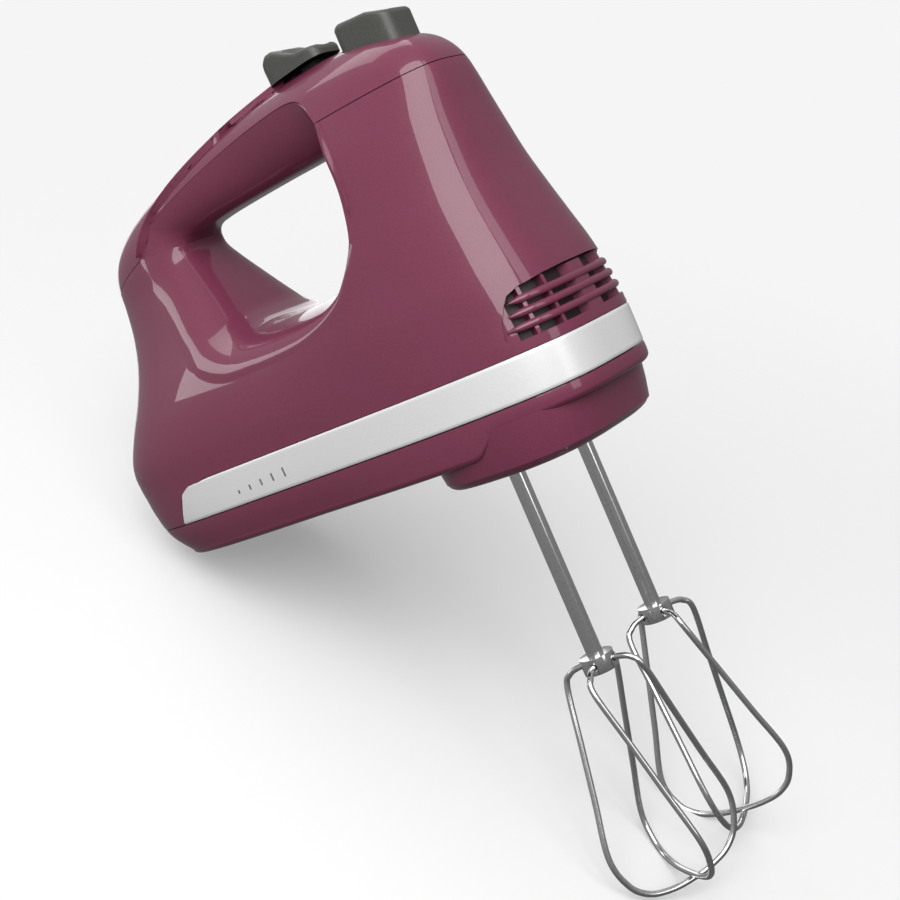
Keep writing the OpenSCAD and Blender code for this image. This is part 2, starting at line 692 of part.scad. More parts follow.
lug_low = spindle_low + 3;
lug_h = 5;
lug_reach = spindle_r - 0.3;
lug_w = 1.6;
module spindle(side) {
    color(steel) translate([0, side * axis_y, 0])
        difference() {
            translate([0, 0, spindle_low]) cylinder(r = spindle_r, h = spindle_high - spindle_low, $fn = 64);
            cylinder(r = spindle_bore, h = spindle_high + 1, $fn = 64);
            translate([-spindle_r - 1, -lug_w / 2 - fit_gap / 2, spindle_low - 1])
                cube([2 * spindle_r + 2, lug_w + fit_gap, lug_low + lug_h + 1 - spindle_low + push_gap]);
        }
}
module left_spindle() spindle(1);
module right_spindle() spindle(-1);
ring_z = bridge_z - 2.5;
module retaining_ring(side) {
    color(steel) translate([0, side * axis_y, ring_z])
        difference() {
            cylinder(r = spindle_r + 1.6, h = 1.2, $fn = 48);
            translate([0, 0, -1]) cylinder(r = spindle_r, h = 4, $fn = 48);
        }
}
module left_retaining_ring() retaining_ring(1);
module right_retaining_ring() retaining_ring(-1);

// Beaters
collar_z = -beater_drop - collar_h;
shaft_top = 54;
wire_z = -beater_drop - collar_h / 2;
module beater_shaft(side) {
    color(stainless) translate([0, side * axis_y, 0]) {
        translate([0, 0, collar_z]) cylinder(r = shaft_r, h = shaft_top - 1 - collar_z, $fn = 64);
        translate([0, 0, shaft_top - 1]) cylinder(r1 = shaft_r, r2 = shaft_r - 0.8, h = 1, $fn = 64);
        translate([-lug_reach, -lug_w / 2, lug_low]) cube([2 * lug_reach, lug_w, lug_h]);
    }
}
module left_beater_shaft() beater_shaft(1);
module right_beater_shaft() beater_shaft(-1);
socket_r = wire_d / 2 + running_gap;
module beater_collar(side) {
    color(stainless) translate([0, side * axis_y, collar_z]) rotate(side > 0 ? LEFT_TURN : RIGHT_TURN)
        difference() {
            cylinder(r = collar_d / 2, h = collar_h, $fn = 64);
            translate([0, 0, -1]) cylinder(r = shaft_r, h = collar_h + 2, $fn = 64);
            for (turn = [0:90:270]) rotate(turn)
                translate([shaft_r + 0.4, 0, collar_h / 2]) rotate([0, 90, 0]) cylinder(r = socket_r, h = 10, $fn = 24);
        }
}
module left_beater_collar() beater_collar(1);
module right_beater_collar() beater_collar(-1);

// One leg of a loop, as [radius, turn, height]: out of the collar, straight to the widest level,
// and round to the lowest point
LOOP_TWIST = 42;
function polar(r, turn, z) = [r * cos(turn), r * sin(turn), z];
function leg_points(base, low) =
    let (top = polar(collar_d / 2 + 8.5, base + 2, wire_z - 6),
        wide = polar(loop_r, base + LOOP_TWIST, wire_z - 0.75 * loop_h))
    concat([polar(collar_d / 2 - 1.6, base, wire_z), polar(collar_d / 2 + 1.5, base, wire_z),
        polar(collar_d / 2 + 5.6, base + 1, wire_z - 1.4)],
        [for (t = [0, 0.33, 0.67]) top + (wide - top) * t],
        [wide, polar(loop_r * 0.9, base + LOOP_TWIST + 2, low + (wire_z - 0.75 * loop_h - low) * 0.45),
            polar(loop_r * 0.68, base + LOOP_TWIST + 3, low + (wire_z - 0.75 * loop_h - low) * 0.16),
            polar(loop_r * 0.36, base + LOOP_TWIST + 4, low + (wire_z - 0.75 * loop_h - low) * 0.03)]);
function loop_keys(base, low) =
    let (leg = leg_points(base, low), back = leg_points(base + 180, low), n = len(back) - 1)
    concat(leg, [[0, 0, low]], [for (i = [n:-1:0]) back[i]]);
// Points on a smooth curve through the keys
function curve_at(keys, i, t) =
    let (n = len(keys) - 1, a = keys[max(i - 1, 0)], b = keys[i], c = keys[min(i + 1, n)], d = keys[min(i + 2, n)])
    0.5 * (2 * b + (c - a) * t + (2 * a - 5 * b + 4 * c - d) * t * t + (3 * b - a - 3 * c + d) * t * t * t);
function smooth_path(keys, steps) = concat(
    [for (i = [0:len(keys) - 2]) for (k = [0:steps - 1]) curve_at(keys, i, k / steps)], [keys[len(keys) - 1]]);
function unit(v) = v / norm(v);
// Frames carried along a path without spinning
function carried(path, i, side) = i == 0 ? side :
    let (before = carried(path, i - 1, side), ahead = unit(path[min(i + 1, len(path) - 1)] - path[i - 1]))
    unit(before - (before * ahead) * ahead);
module tube(path, r, sides, first_side) {
    n = len(path);
    points = [for (i = [0:n - 1])
        let (ahead = unit(path[min(i + 1, n - 1)] - path[max(i - 1, 0)]), u = carried(path, i, first_side),
            v = cross(ahead, u))
        for (k = [0:sides - 1]) path[i] + r * (cos(360 * k / sides) * u + sin(360 * k / sides) * v)];
    polyhedron(points = points, faces = concat([[for (k = [sides - 1:-1:0]) k]],
        [for (i = [0:n - 2]) for (k = [0:sides - 1])
            [i * sides + k, i * sides + (k + 1) % sides, (i + 1) * sides + (k + 1) % sides, (i + 1) * sides + k]],
        [[for (k = [0:sides - 1]) (n - 1) * sides + k]]), convexity = 8);
}
loop_low = wire_z - loop_h;
crossing_gap = 0.3;
module wire_loop(side, base, low) {
    color(stainless) translate([0, side * axis_y, 0])
        tube(smooth_path(loop_keys(base, low), 2), wire_d / 2, 8, [0, 0, 1]);
}
// The two beaters stand at different turns, so that their wires pass between each other
LEFT_TURN = 61;
RIGHT_TURN = 13;
high_low = loop_low + wire_d + crossing_gap;
module left_loop_a() wire_loop(1, LEFT_TURN, loop_low);
module left_loop_b() wire_loop(1, LEFT_TURN + 90, high_low);
module right_loop_a() wire_loop(-1, RIGHT_TURN, loop_low);
module right_loop_b() wire_loop(-1, RIGHT_TURN + 90, high_low);

// Speed slider on the handle's sloping top
slider_tilt = 2.5;
slider_front = -18;
slider_base = up(154);
slider_slot_w = 6;
tongue_back = -13;      // the tongue that carries the knob, from its rear end forward
tongue_length = 7;
module on_handle() {
    translate([slider_front, 0, slider_base]) rotate([0, -slider_tilt, 0]) children();
}
module slider_slot() {
    on_handle() translate([tongue_back - slider_travel - free_gap, -slider_slot_w / 2 - free_gap, -18])
        cube([tongue_length + slider_travel + 2 * free_gap, slider_slot_w + 2 * free_gap, 30]);
}
SLIDER_SIDE = [[0, 0], [0, 1.5], [-3, 4.5], [-8, 4.6], [-12, 6], [-15.5, 9], [-19, 10.6], [-23, 10.2],
    [-25.5, 7], [-27, 0]];
module speed_slider() {
    color(graphite) on_handle()
        intersection() {
            across(slider_width) polygon([for (p = SLIDER_SIDE) [p[0] * slider_length / 27, p[1] + free_gap]]);
            translate([-slider_length / 2, 0, 0]) linear_extrude(height = 20)
                polygon([for (k = [0:39]) let (t = 9 * k, c = cos(t), s = sin(t))
                    [slider_length / 2 * sign(c) * pow(abs(c), 0.5), slider_width / 2 * sign(s) * pow(abs(s), 0.5)]]);
        }
}
module slider_carrier() {
    color(moulded_black) on_handle() translate([tongue_back, -slider_slot_w / 2, -12])
        cube([tongue_length, slider_slot_w, 12 + free_gap]);
}
switch_top = slider_base - 14.5;
module speed_switch() {
    color(moulded_black) translate([slider_front - slider_length - slider_travel + 2, -7.5, switch_top - 8])
        cube([slider_length + slider_travel - 8, 15, 6]);
}

// Ejector
button_x = 3;
button_low = up(143.5);
button_top = up(160);
module button_plan(grow) {
    polygon([for (k = [0:39]) let (t = 9 * k, c = cos(t), s = sin(t))
        [(button_length / 2 + grow) * sign(c) * pow(abs(c), 0.5), (button_width / 2 + grow) * sign(s) * pow(abs(s), 0.5)]]);
}
module button_hole() {
    translate([button_x, 0, button_low - 12]) linear_extrude(height = 40) button_plan(free_gap);
}
module ejector_button() {
    color(graphite)
    difference() {
        translate([button_x, 0, button_low]) linear_extrude(height = button_top - button_low) button_plan(0);
        across(2 * button_width) polygon([[button_x - 40, button_top + 10], [button_x - 40, button_top - 1],
            [button_x - 9, button_top - 1], [button_x - 3, button_top - 2.4], [button_x + 4, button_top - 2],
            [button_x + 16, button_top - 6.5], [button_x + 40, button_top + 10]]);
    }
}
fork_z = spindle_high + button_travel + 1.5;
fork_h = 4;
module ejector_rod() {
    color(moulded_black) translate([0, 0, fork_z + fork_h]) cylinder(r = rod_r, h = button_low - fork_z - fork_h);
}
pin_r = spindle_bore - 0.5;
module ejector_fork() {
    color(moulded_black) {
        translate([-6, -axis_y - 4, fork_z]) cube([12, 2 * axis_y + 8, fork_h]);
        for (side = [-1, 1]) translate([0, side * axis_y, shaft_top + push_gap])
            cylinder(r = pin_r, h = fork_z + 1 - shaft_top - push_gap, $fn = 40);
    }
}
module ejector_spring() {
    color(steel) translate([0, 0, bridge_z + bridge_h])
        difference() {
            cylinder(r = 5.4, h = fork_z - bridge_z - bridge_h, $fn = 40);
            translate([0, 0, -1]) cylinder(r = 4.2, h = 40, $fn = 40);
        }
}

// Electrics in the handle and the tail
board_x = tail_x + 22;
module speed_board() {
    color([0.25, 0.42, 0.25]) translate([board_x, -16, 26]) cube([1.6, 32, 34]);
}
module capacitor() {
    color([0.85, 0.72, 0.30]) translate([board_x + 1.6, -8, 44]) cube([7, 16, 12]);
}
LEAD_R = 1.1;
// Each lead runs from the switch back along the handle and down the tail to the board
function lead_route(y) = [[slider_front - slider_length - slider_travel + 2, y, switch_top - 5],
    [along(-75), y, up(133)], [along(-95), y, up(129)], [along(-120), y, up(124)], [along(-134), y, up(115)],
    [along(-139), y, up(98)], [along(-143), y, up(80)], [board_x + 3, y, 66], [board_x + 3.2, y, 60.5]];
module supply_lead() {
    color(moulded_black) tube(smooth_path(lead_route(5), 2), LEAD_R, 8, [0, 1, 0]);
}
module return_lead() {
    color([0.9, 0.9, 0.9]) tube(smooth_path(lead_route(-5), 2), LEAD_R, 8, [0, 1, 0]);
}
gland_z = 48;
gland_r = 8;
gland_bore = 3.6;
flange_sunk = 0.3;
module cord_gland() {
    color(moulded_black) translate([tail_x - 1.2, 0, gland_z]) rotate([0, 90, 0])
        difference() {
            union() {
                cylinder(r = gland_r + 2, h = 1.2 + flange_sunk, $fn = 48);
                cylinder(r = gland_r, h = 14, $fn = 48);
            }
            translate([0, 0, -1]) cylinder(r = gland_bore, h = 20, $fn = 48);
        }
}

module screw(length) {
    cylinder(r = screw_r - 0.05, h = length, $fn = 24);
    difference() {
        cylinder(r = screw_head_r, h = 2, $fn = 24);
        for (turn = [0, 90]) rotate(turn) translate([-1.8, -0.4, -0.5]) cube([3.6, 0.8, 1.4]);
    }
}
module housing_screws() {
    color(steel) for (p = body_boss, side = [-1, 1])
        translate([p, side * body_boss_y, floor_z + 1]) screw(18);
}
module frame_screws() {
    color(steel) for (p = frame_boss, side = [-1, 1])
        translate([p[0], side * p[1], plate_z + plate_h + 2]) rotate([180, 0, 0]) screw(14);
}
module stator_screws() {
    color(steel) for (s = [-1, 1])
        translate([bracket_x - bracket_thick / 2 - 2, s * stator_screw_y, motor_z + s * stator_screw_z])
            rotate([0, 90, 0]) screw(frame_back + 3 - bracket_x + bracket_thick / 2 + 2);
}
COVER_SCREWS = [[-134, 121], [-92, 127]];
module cover_screws() {
    color(steel) for (p = side_line(COVER_SCREWS))
        translate([p[0], 0, p[1] - 2]) screw(9);
}

main_housing();
top_cover();
bottom_housing();
trim_band();
gear_frame();
left_lower_bush();
right_lower_bush();
left_upper_bush();
right_upper_bush();
front_bearing();
rear_bearing();
rear_bracket();
field_stator();
upper_field_coil();
lower_field_coil();
left_brush_holder();
right_brush_holder();
left_brush();
right_brush();
left_brush_spring();
right_brush_spring();
speed_switch();
speed_board();
capacitor();
supply_lead();
return_lead();
cord_gland();
fan_shroud();
ejector_spring();
housing_screws();
cover_screws();
frame_screws();
stator_screws();
armature_shaft();
armature_core();
armature_winding();
commutator();
cooling_fan();
worm();
left_spindle();
left_worm_gear();
left_retaining_ring();
right_spindle();
right_worm_gear();
right_retaining_ring();
left_beater_shaft();
left_beater_collar();
left_loop_a();
left_loop_b();
right_beater_shaft();
right_beater_collar();
right_loop_a();
right_loop_b();
speed_slider();
slider_carrier();
ejector_button();
ejector_rod();
ejector_fork();
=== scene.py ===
import bpy
import json
import math
import numpy as np
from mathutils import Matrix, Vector


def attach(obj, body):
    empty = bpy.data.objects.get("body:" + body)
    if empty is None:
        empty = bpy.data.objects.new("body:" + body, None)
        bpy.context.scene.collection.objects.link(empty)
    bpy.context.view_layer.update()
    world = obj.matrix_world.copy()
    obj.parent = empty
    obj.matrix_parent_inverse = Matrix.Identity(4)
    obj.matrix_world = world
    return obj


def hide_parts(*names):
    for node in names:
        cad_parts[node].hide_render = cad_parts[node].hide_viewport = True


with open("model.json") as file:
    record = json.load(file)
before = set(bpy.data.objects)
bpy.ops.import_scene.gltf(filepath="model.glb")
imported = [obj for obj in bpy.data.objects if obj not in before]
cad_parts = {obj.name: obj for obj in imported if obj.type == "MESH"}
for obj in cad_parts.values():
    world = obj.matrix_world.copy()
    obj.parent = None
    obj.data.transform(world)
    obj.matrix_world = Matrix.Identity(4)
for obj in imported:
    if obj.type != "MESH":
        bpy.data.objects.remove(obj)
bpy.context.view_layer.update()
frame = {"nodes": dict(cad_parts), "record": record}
MM = 0.001

# Camera: a 60 mm lens in front of the nose, a little to the right and below the handle,
# rolled so that the mixer leans over its beaters.
bpy.ops.object.select_all(action="DESELECT")
bpy.ops.object.camera_add(location=(0.3054, -0.4161, 0.0604),
                          rotation=[math.radians(a) for a in (84.2505, 23.4657, 37.4509)])
camera = bpy.context.object
camera.name = "studio_camera"
camera.data.lens = 60
camera.data.sensor_width = 36
camera.data.clip_start = 0.01
camera.data.dof.use_dof = False
bpy.context.scene.camera = camera
bpy.context.scene.view_settings.view_transform = "Standard"


# Main housing: the plum moulding that makes the body's sides, the nose, the tail and the grip
# under the handle. It is a 2.2 mm wall, sprayed with a gloss paint that holds a fine pearl.
def new_material(name, base, roughness, metallic=0.0, coat=0.0, coat_roughness=0.03, specular=0.5):
    """A material with its constants on the shader's own sockets."""
    made = bpy.data.materials.new(name)
    made.use_nodes = True
    shader = made.node_tree.nodes["Principled BSDF"]
    shader.inputs["Base Color"].default_value = (*base, 1)
    shader.inputs["Roughness"].default_value = roughness
    shader.inputs["Metallic"].default_value = metallic
    shader.inputs["Coat Weight"].default_value = coat
    shader.inputs["Coat Roughness"].default_value = coat_roughness
    shader.inputs["Specular IOR Level"].default_value = specular
    return made, made.node_tree, shader


def make_finish_group():
    """Grain and handling marks shared by every finish: a colour, a roughness and a height."""
    group = bpy.data.node_groups.new("surface_grain", "ShaderNodeTree")
    face = group.interface
    for label, kind, value in (
            ("Light", "NodeSocketColor", (1, 1, 1, 1)), ("Dark", "NodeSocketColor", (0, 0, 0, 1)),
            ("Grain Scale", "NodeSocketFloat", 900), ("Roughness", "NodeSocketFloat", 0.4),
            ("Roughness Spread", "NodeSocketFloat", 0.1), ("Wear Scale", "NodeSocketFloat", 40)):
        face.new_socket(name=label, in_out="INPUT", socket_type=kind).default_value = value
    for label, kind in (("Color", "NodeSocketColor"), ("Roughness", "NodeSocketFloat"),
                        ("Height", "NodeSocketFloat")):
        face.new_socket(name=label, in_out="OUTPUT", socket_type=kind)
    nodes, links = group.nodes, group.links
    into, out = nodes.new("NodeGroupInput"), nodes.new("NodeGroupOutput")
    coords = nodes.new("ShaderNodeTexCoord")
    grain, wear = nodes.new("ShaderNodeTexNoise"), nodes.new("ShaderNodeTexNoise")
    mix = nodes.new("ShaderNodeMix")
    mix.data_type = "RGBA"
    grain.inputs["Detail"].default_value = 3
    wear.inputs["Detail"].default_value = 5
    spread = nodes.new("ShaderNodeMath")
    spread.operation = "MULTIPLY_ADD"
    centre = nodes.new("ShaderNodeMath")
    centre.operation = "SUBTRACT"
    centre.inputs[1].default_value = 0.5
    for noise, scale in ((grain, "Grain Scale"), (wear, "Wear Scale")):
        links.new(coords.outputs["Object"], noise.inputs["Vector"])
        links.new(into.outputs[scale], noise.inputs["Scale"])
    contrast = nodes.new("ShaderNodeMapRange")
    contrast.inputs["From Min"].default_value = 0.35
    contrast.inputs["From Max"].default_value = 0.65
    links.new(grain.outputs["Fac"], contrast.inputs["Value"])
    links.new(contrast.outputs["Result"], mix.inputs["Factor"])
    links.new(into.outputs["Dark"], mix.inputs["A"])
    links.new(into.outputs["Light"], mix.inputs["B"])
    links.new(mix.outputs["Result"], out.inputs["Color"])
    links.new(wear.outputs["Fac"], centre.inputs[0])
    links.new(centre.outputs[0], spread.inputs[0])
    links.new(into.outputs["Roughness Spread"], spread.inputs[1])
    links.new(into.outputs["Roughness"], spread.inputs[2])
    links.new(spread.outputs[0], out.inputs["Roughness"])
    links.new(grain.outputs["Fac"], out.inputs["Height"])
    return group


surface_grain = make_finish_group()


def finish(name, light, dark, roughness, spread, grain_scale, wear_scale, bump,
           metallic=0.0, coat=0.0, specular=0.5):
    """A material whose colour, roughness and bump come from the shared grain."""
    made, tree, shader = new_material(name, light, roughness, metallic, coat, specular=specular)
    grain = tree.nodes.new("ShaderNodeGroup")
    grain.node_tree = surface_grain
    grain.inputs["Light"].default_value = (*light, 1)
    grain.inputs["Dark"].default_value = (*dark, 1)
    grain.inputs["Grain Scale"].default_value = grain_scale
    grain.inputs["Roughness"].default_value = roughness
    grain.inputs["Roughness Spread"].default_value = spread
    grain.inputs["Wear Scale"].default_value = wear_scale
    relief = tree.nodes.new("ShaderNodeBump")
    relief.inputs["Strength"].default_value = bump
    relief.inputs["Distance"].default_value = 0.0001
    tree.links.new(grain.outputs["Color"], shader.inputs["Base Color"])
    tree.links.new(grain.outputs["Roughness"], shader.inputs["Roughness"])
    tree.links.new(grain.outputs["Height"], relief.inputs["Height"])
    tree.links.new(relief.outputs["Normal"], shader.inputs["Normal"])
    return made


PLUM_LIGHT = (0.178, 0.036, 0.074)
PLUM_DARK = (0.148, 0.029, 0.061)
plum_paint = finish("plum_paint", PLUM_LIGHT, PLUM_DARK, 0.36, 0.10, 2600, 30, 0.03, coat=0.8, specular=0.15)

# Height, setback from the nose, setback from the tail, half width in front, half width behind
# and squareness of the tail
STATIONS = [
    [8, 0, 14, 42.5, 40, 5], [20, 0, 4, 43, 42.5, 5], [37.5, 0, 0, 43, 43, 5], [48, 1, 0, 42.5, 42.5, 5],
    [60, 3, 5, 41.5, 40, 4.6], [72, 6, 11, 39.5, 36, 4.2], [84, 9, 14, 37.5, 31, 3.8],
    [96, 11.5, 14.5, 35, 26.5, 3.4], [108, 13, 14, 32.5, 22.5, 3.2], [118, 14, 14, 30, 20.5, 3],
    [126, 14.5, 18, 27, 19, 2.8],
    [133, 15.5, 27, 24, 17, 2.6], [139, 18.5, 43, 21, 15, 2.6], [144, 24, 64, 17.5, 12.5, 2.6],
    [148.5, 35, 90, 12.5, 9, 2.6], [151.5, 52, 117, 7, 5.5, 2.6], [153, 66, 132, 3, 3, 2.6]]
NOSE_X, TAIL_X, NOSE_SQUARE = 42.0, -174.0, 3.4
WIDTH_TURNS_AT, WIDTH_TURNS_OVER = -80, 60      # where the width passes from the tail's to the nose's
HOUSING_WALL = 2.2


def station(z, column):
    """A body size at a height, on a smooth curve through the stations."""
    rows = STATIONS
    i = 0
    while i < len(rows) - 2 and rows[i + 1][0] <= z:
        i += 1
    a, b, c, d = rows[max(i - 1, 0)], rows[i], rows[i + 1], rows[min(i + 2, len(rows) - 1)]
    h = c[0] - b[0]
    t = (z - b[0]) / h
    m, k = (c[column] - a[column]) / (c[0] - a[0]) * h, (d[column] - b[column]) / (d[0] - b[0]) * h
    return ((2 * t ** 3 - 3 * t * t + 1) * b[column] + (t ** 3 - 2 * t * t + t) * m
            + (3 * t * t - 2 * t ** 3) * c[column] + (t ** 3 - t * t) * k)


def body_limits(z):
    """The middle of the body's length at a height, and half its length."""
    front, back = NOSE_X - station(z, 1), TAIL_X + station(z, 2)
    return (front + back) / 2, (front - back) / 2


def turn_at(x, z):
    """The turn round the body at which its outline reaches x."""
    mid, reach = body_limits(z)
    return math.acos(min(1, max(-1, (x - mid) / reach)))


def skin(turn, z, side, out=0.0):
    """A point of the body's outside, in millimetres, moved outward by out."""
    mid, reach = body_limits(z)
    c = math.cos(turn)
    square = NOSE_SQUARE if c > 0 else station(z, 5)
    x = mid + (reach + out) * c
    t = min(1, max(0, (x - WIDTH_TURNS_AT) / WIDTH_TURNS_OVER))
    t = t * t * (3 - 2 * t)
    wide = station(z, 4) * (1 - t) + station(z, 3) * t + out
    return (x, side * wide * max(0.0, 1 - abs(c) ** square) ** (1 / square), z)


def sheet(name, across_steps, along_steps, place):
    """A grid whose points are moved to place(u, v), given in millimetres; u and v run from 0 to 1."""
    bpy.ops.object.select_all(action="DESELECT")
    bpy.ops.mesh.primitive_grid_add(x_subdivisions=across_steps, y_subdivisions=along_steps, size=1)
    made = bpy.context.object
    made.name = name
    for vertex in made.data.vertices:
        vertex.co = Vector(place(vertex.co.x + 0.5, vertex.co.y + 0.5)) * MM
    return made


def joined(name, parts, merge=0.00002):
    """Joins sheets into one mesh, merges their shared edges and makes the normals agree."""
    bpy.ops.object.select_all(action="DESELECT")
    for part in parts:
        part.select_set(True)
    bpy.context.view_layer.objects.active = parts[0]
    if len(parts) > 1:
        bpy.ops.object.join()
    made = bpy.context.object
    made.name = name
    made.data.name = name
    bpy.ops.object.mode_set(mode="EDIT")
    bpy.ops.mesh.select_all(action="SELECT")
    bpy.ops.mesh.remove_doubles(threshold=merge)
    bpy.ops.mesh.normals_make_consistent(inside=False)
    bpy.ops.object.mode_set(mode="OBJECT")
    return made


def face_outward(made, near, way):
    """Flips the whole mesh if the face nearest to a point looks the wrong way."""
    point = Vector(near) * MM
    face = min(made.data.polygons, key=lambda f: (f.center - point).length)
    if face.normal.dot(Vector(way)) < 0:
        made.data.flip_normals()


def apply_modifier(made, kind, **settings):
    """Adds a modifier with its settings and applies it."""
    bpy.ops.object.select_all(action="DESELECT")
    made.select_set(True)
    bpy.context.view_layer.objects.active = made
    modifier = made.modifiers.new(kind.lower(), kind)
    for key, value in settings.items():
        setattr(modifier, key, value)
    bpy.ops.object.modifier_apply(modifier=modifier.name)


def shade(made, degrees=35):
    """Smooths the shading except across edges sharper than an angle."""
    bpy.ops.object.select_all(action="DESELECT")
    made.select_set(True)
    bpy.context.view_layer.objects.active = made
    bpy.ops.object.shade_smooth_by_angle(angle=math.radians(degrees))


def belongs(made, body, material, slot, *nodes):
    """Gives a finished piece its material, its body and the solids it stands for."""
    made.data.materials.clear()
    made.data.materials.append(material)
    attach(made, body)
    if nodes:
        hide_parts(*nodes)


# The finger opening's edge on the outside (x, z) and the line in its middle that it runs in to
OPENING_EDGE = np.array([
    (-18, 131.5), (-16.5, 121), (-14.6, 111), (-14.2, 102.4), (-15.4, 91.6), (-18.5, 85), (-22.4, 79.8),
    (-27.8, 74.2), (-36.8, 69.6), (-47, 66.3), (-57.6, 65), (-74.7, 64.8), (-88.4, 65.1), (-97.5, 66.8),
    (-105.7, 70.4), (-111.2, 75.2), (-114.8, 82.2), (-120.5, 92.7), (-125.8, 103.4), (-128.5, 113.7),
    (-129.8, 121.3), (-128, 125.7), (-122.5, 130.2), (-111, 134), (-97, 137.2), (-78, 140.5), (-60, 142.5),
    (-41, 143.5), (-32, 143.2), (-26.5, 141.8), (-22.5, 138.8), (-19.8, 134.6)])
OPENING_MIDDLE = np.array([
    (-14, 121.5), (-12.2, 116), (-12.6, 108), (-13.2, 101), (-16.5, 92), (-20, 87), (-24, 83), (-29, 80.3),
    (-36, 78.6), (-46, 78), (-56, 77.6), (-70, 77.8), (-82, 79), (-88, 81.2), (-92, 84), (-95, 87), (-98, 92),
    (-103.5, 101.5), (-108.5, 110), (-111.7, 116), (-111, 119.5), (-108, 121.3), (-103, 122), (-95, 122.5),
    (-84, 122.8), (-68, 123), (-52, 123), (-36, 123), (-26, 122.9), (-20.5, 122.7), (-17, 122.3), (-15, 122)])
CORNER = 20                 # the sharp corner at the handle's rear; the other one is at 0
KEYS = len(OPENING_EDGE)


def smooth_between(a, b, c, d, t):
    """A point between b and c on a smooth curve through a, b, c and d."""
    return 0.5 * (2 * b + (c - a) * t + (2 * a - 5 * b + 4 * c - d) * t * t
                  + (3 * b - a - 3 * c + d) * t ** 3)


def on_keys(keys, s):
    """A smooth curve through the keys, with sharp corners at the first one and at CORNER."""
    low, high = (0, CORNER) if s < CORNER else (CORNER, KEYS)
    i = min(int(s), high - 1)
    t = s - i
    a, b, c, d = (keys[min(max(k, low), high) % KEYS] for k in (i - 1, i, i + 1, i + 2))
    return smooth_between(a, b, c, d, t)


# Outer border of each side, as (turn, height), from the nose at the seam round to the tail at the seam
BAND_TOP = 35.95
BORDER = ([(0, z) for z in (132.3, 121, 110, 99, 87, 74, 60, 46, BAND_TOP)]
          + [(turn_at(x, BAND_TOP), BAND_TOP) for x in (18, -10, -45, -76, -100, -121)]
          + [(turn_at(-138, 31), 31), (turn_at(-143.6, 21.7), 21.7)]
          + [(math.pi, z) for z in (21.7, 50, 80, 108.5)])


EDGE_STEPS = 160


def housing_side(side):
    """One side of the body, from the finger opening's edge out to its border."""
    edge = [on_keys(OPENING_EDGE, CORNER * k / EDGE_STEPS) for k in range(EDGE_STEPS + 1)]

    def place(u, v):
        k = int(round(u * EDGE_STEPS))
        x, z = edge[k]
        i = min(int(u * CORNER), CORNER - 1)
        t = u * CORNER - i
        far = [a + (b - a) * t for a, b in zip(BORDER[i], BORDER[i + 1])]
        near = (turn_at(x, z), z)
        w = 1 - (1 - v) ** 1.35
        return skin(near[0] + (far[0] - near[0]) * w, near[1] + (far[1] - near[1]) * w, side)
    return sheet("housing_side", EDGE_STEPS, 44, place)


FLAT_HALF = 7.0
LIP_STEPS = 14


def opening_tunnel():
    """The wall of the finger opening from one side of the body to the other."""
    def place(u, v):
        s = KEYS * u if u < 1 else 0.0
        edge, inner = on_keys(OPENING_EDGE, s), on_keys(OPENING_MIDDLE, s)
        reach = skin(turn_at(*edge), edge[1], 1)[1]
        k = round(v * 2 * (LIP_STEPS + 1)) - (LIP_STEPS + 1)
        turn = min(1, (LIP_STEPS + 1 - abs(k)) / LIP_STEPS) * math.pi / 2
        handle = min(1, max(0, (s - CORNER) / 2)) * min(1, max(0, (KEYS - s) / 2))
        flat = FLAT_HALF - 4 * handle
        y = flat + (reach - flat) * max(0.0, math.cos(turn)) ** 0.92
        if k == 0:
            y = 0
        x, z = edge + (inner - edge) * math.sin(turn) ** 0.96
        return (x, math.copysign(y, k) if k else 0, z)
    return sheet("opening_tunnel", 256, 2 * (LIP_STEPS + 1), place)


main_housing = joined("housing_shell", [housing_side(1), housing_side(-1), opening_tunnel()])
face_outward(main_housing, (20, -40, 60), (0.2, -1, 0))
apply_modifier(main_housing, "SOLIDIFY", thickness=HOUSING_WALL * MM, offset=-1)

# The window for the air grille is cut through the nose
WINDOW_SILL, WINDOW_CUT_X, WINDOW_CUT_LENGTH = 39.4, 18, 40
WINDOW_EDGE = [(32.7, WINDOW_SILL), (33.3, 40.9), (32.4, 46.5), (30.8, 51.2), (29.2, 54.2), (26.2, 55.7),
               (17.5, 56.6), (8, 56.9), (0, 56.9)]


def window_cutter():
    """A plug with the window's outline, for cutting it through the nose."""
    ring = [(y, z) for y, z in WINDOW_EDGE] + [(-y, z) for y, z in reversed(WINDOW_EDGE[:-1])]
    ring += [(y, WINDOW_SILL) for y in (-24, -12, 0, 12, 24)]
    bpy.ops.object.select_all(action="DESELECT")
    bpy.ops.mesh.primitive_circle_add(vertices=len(ring), radius=1, fill_type="NGON")
    made = bpy.context.object
    for vertex, (y, z) in zip(made.data.vertices, ring):
        vertex.co = Vector((WINDOW_CUT_X, y, z)) * MM
    bpy.ops.object.mode_set(mode="EDIT")
    bpy.ops.mesh.select_all(action="SELECT")
    bpy.ops.mesh.extrude_region_move(TRANSFORM_OT_translate={"value": (WINDOW_CUT_LENGTH * MM, 0, 0)})
    bpy.ops.mesh.select_all(action="SELECT")
    bpy.ops.mesh.normals_make_consistent(inside=False)
    bpy.ops.object.mode_set(mode="OBJECT")
    return made


cutter = window_cutter()
apply_modifier(main_housing, "BOOLEAN", object=cutter, operation="DIFFERENCE", solver="EXACT")
bpy.data.objects.remove(cutter)
shade(main_housing, 40)
belongs(main_housing, "housing", plum_paint, "paint", "main_housing")


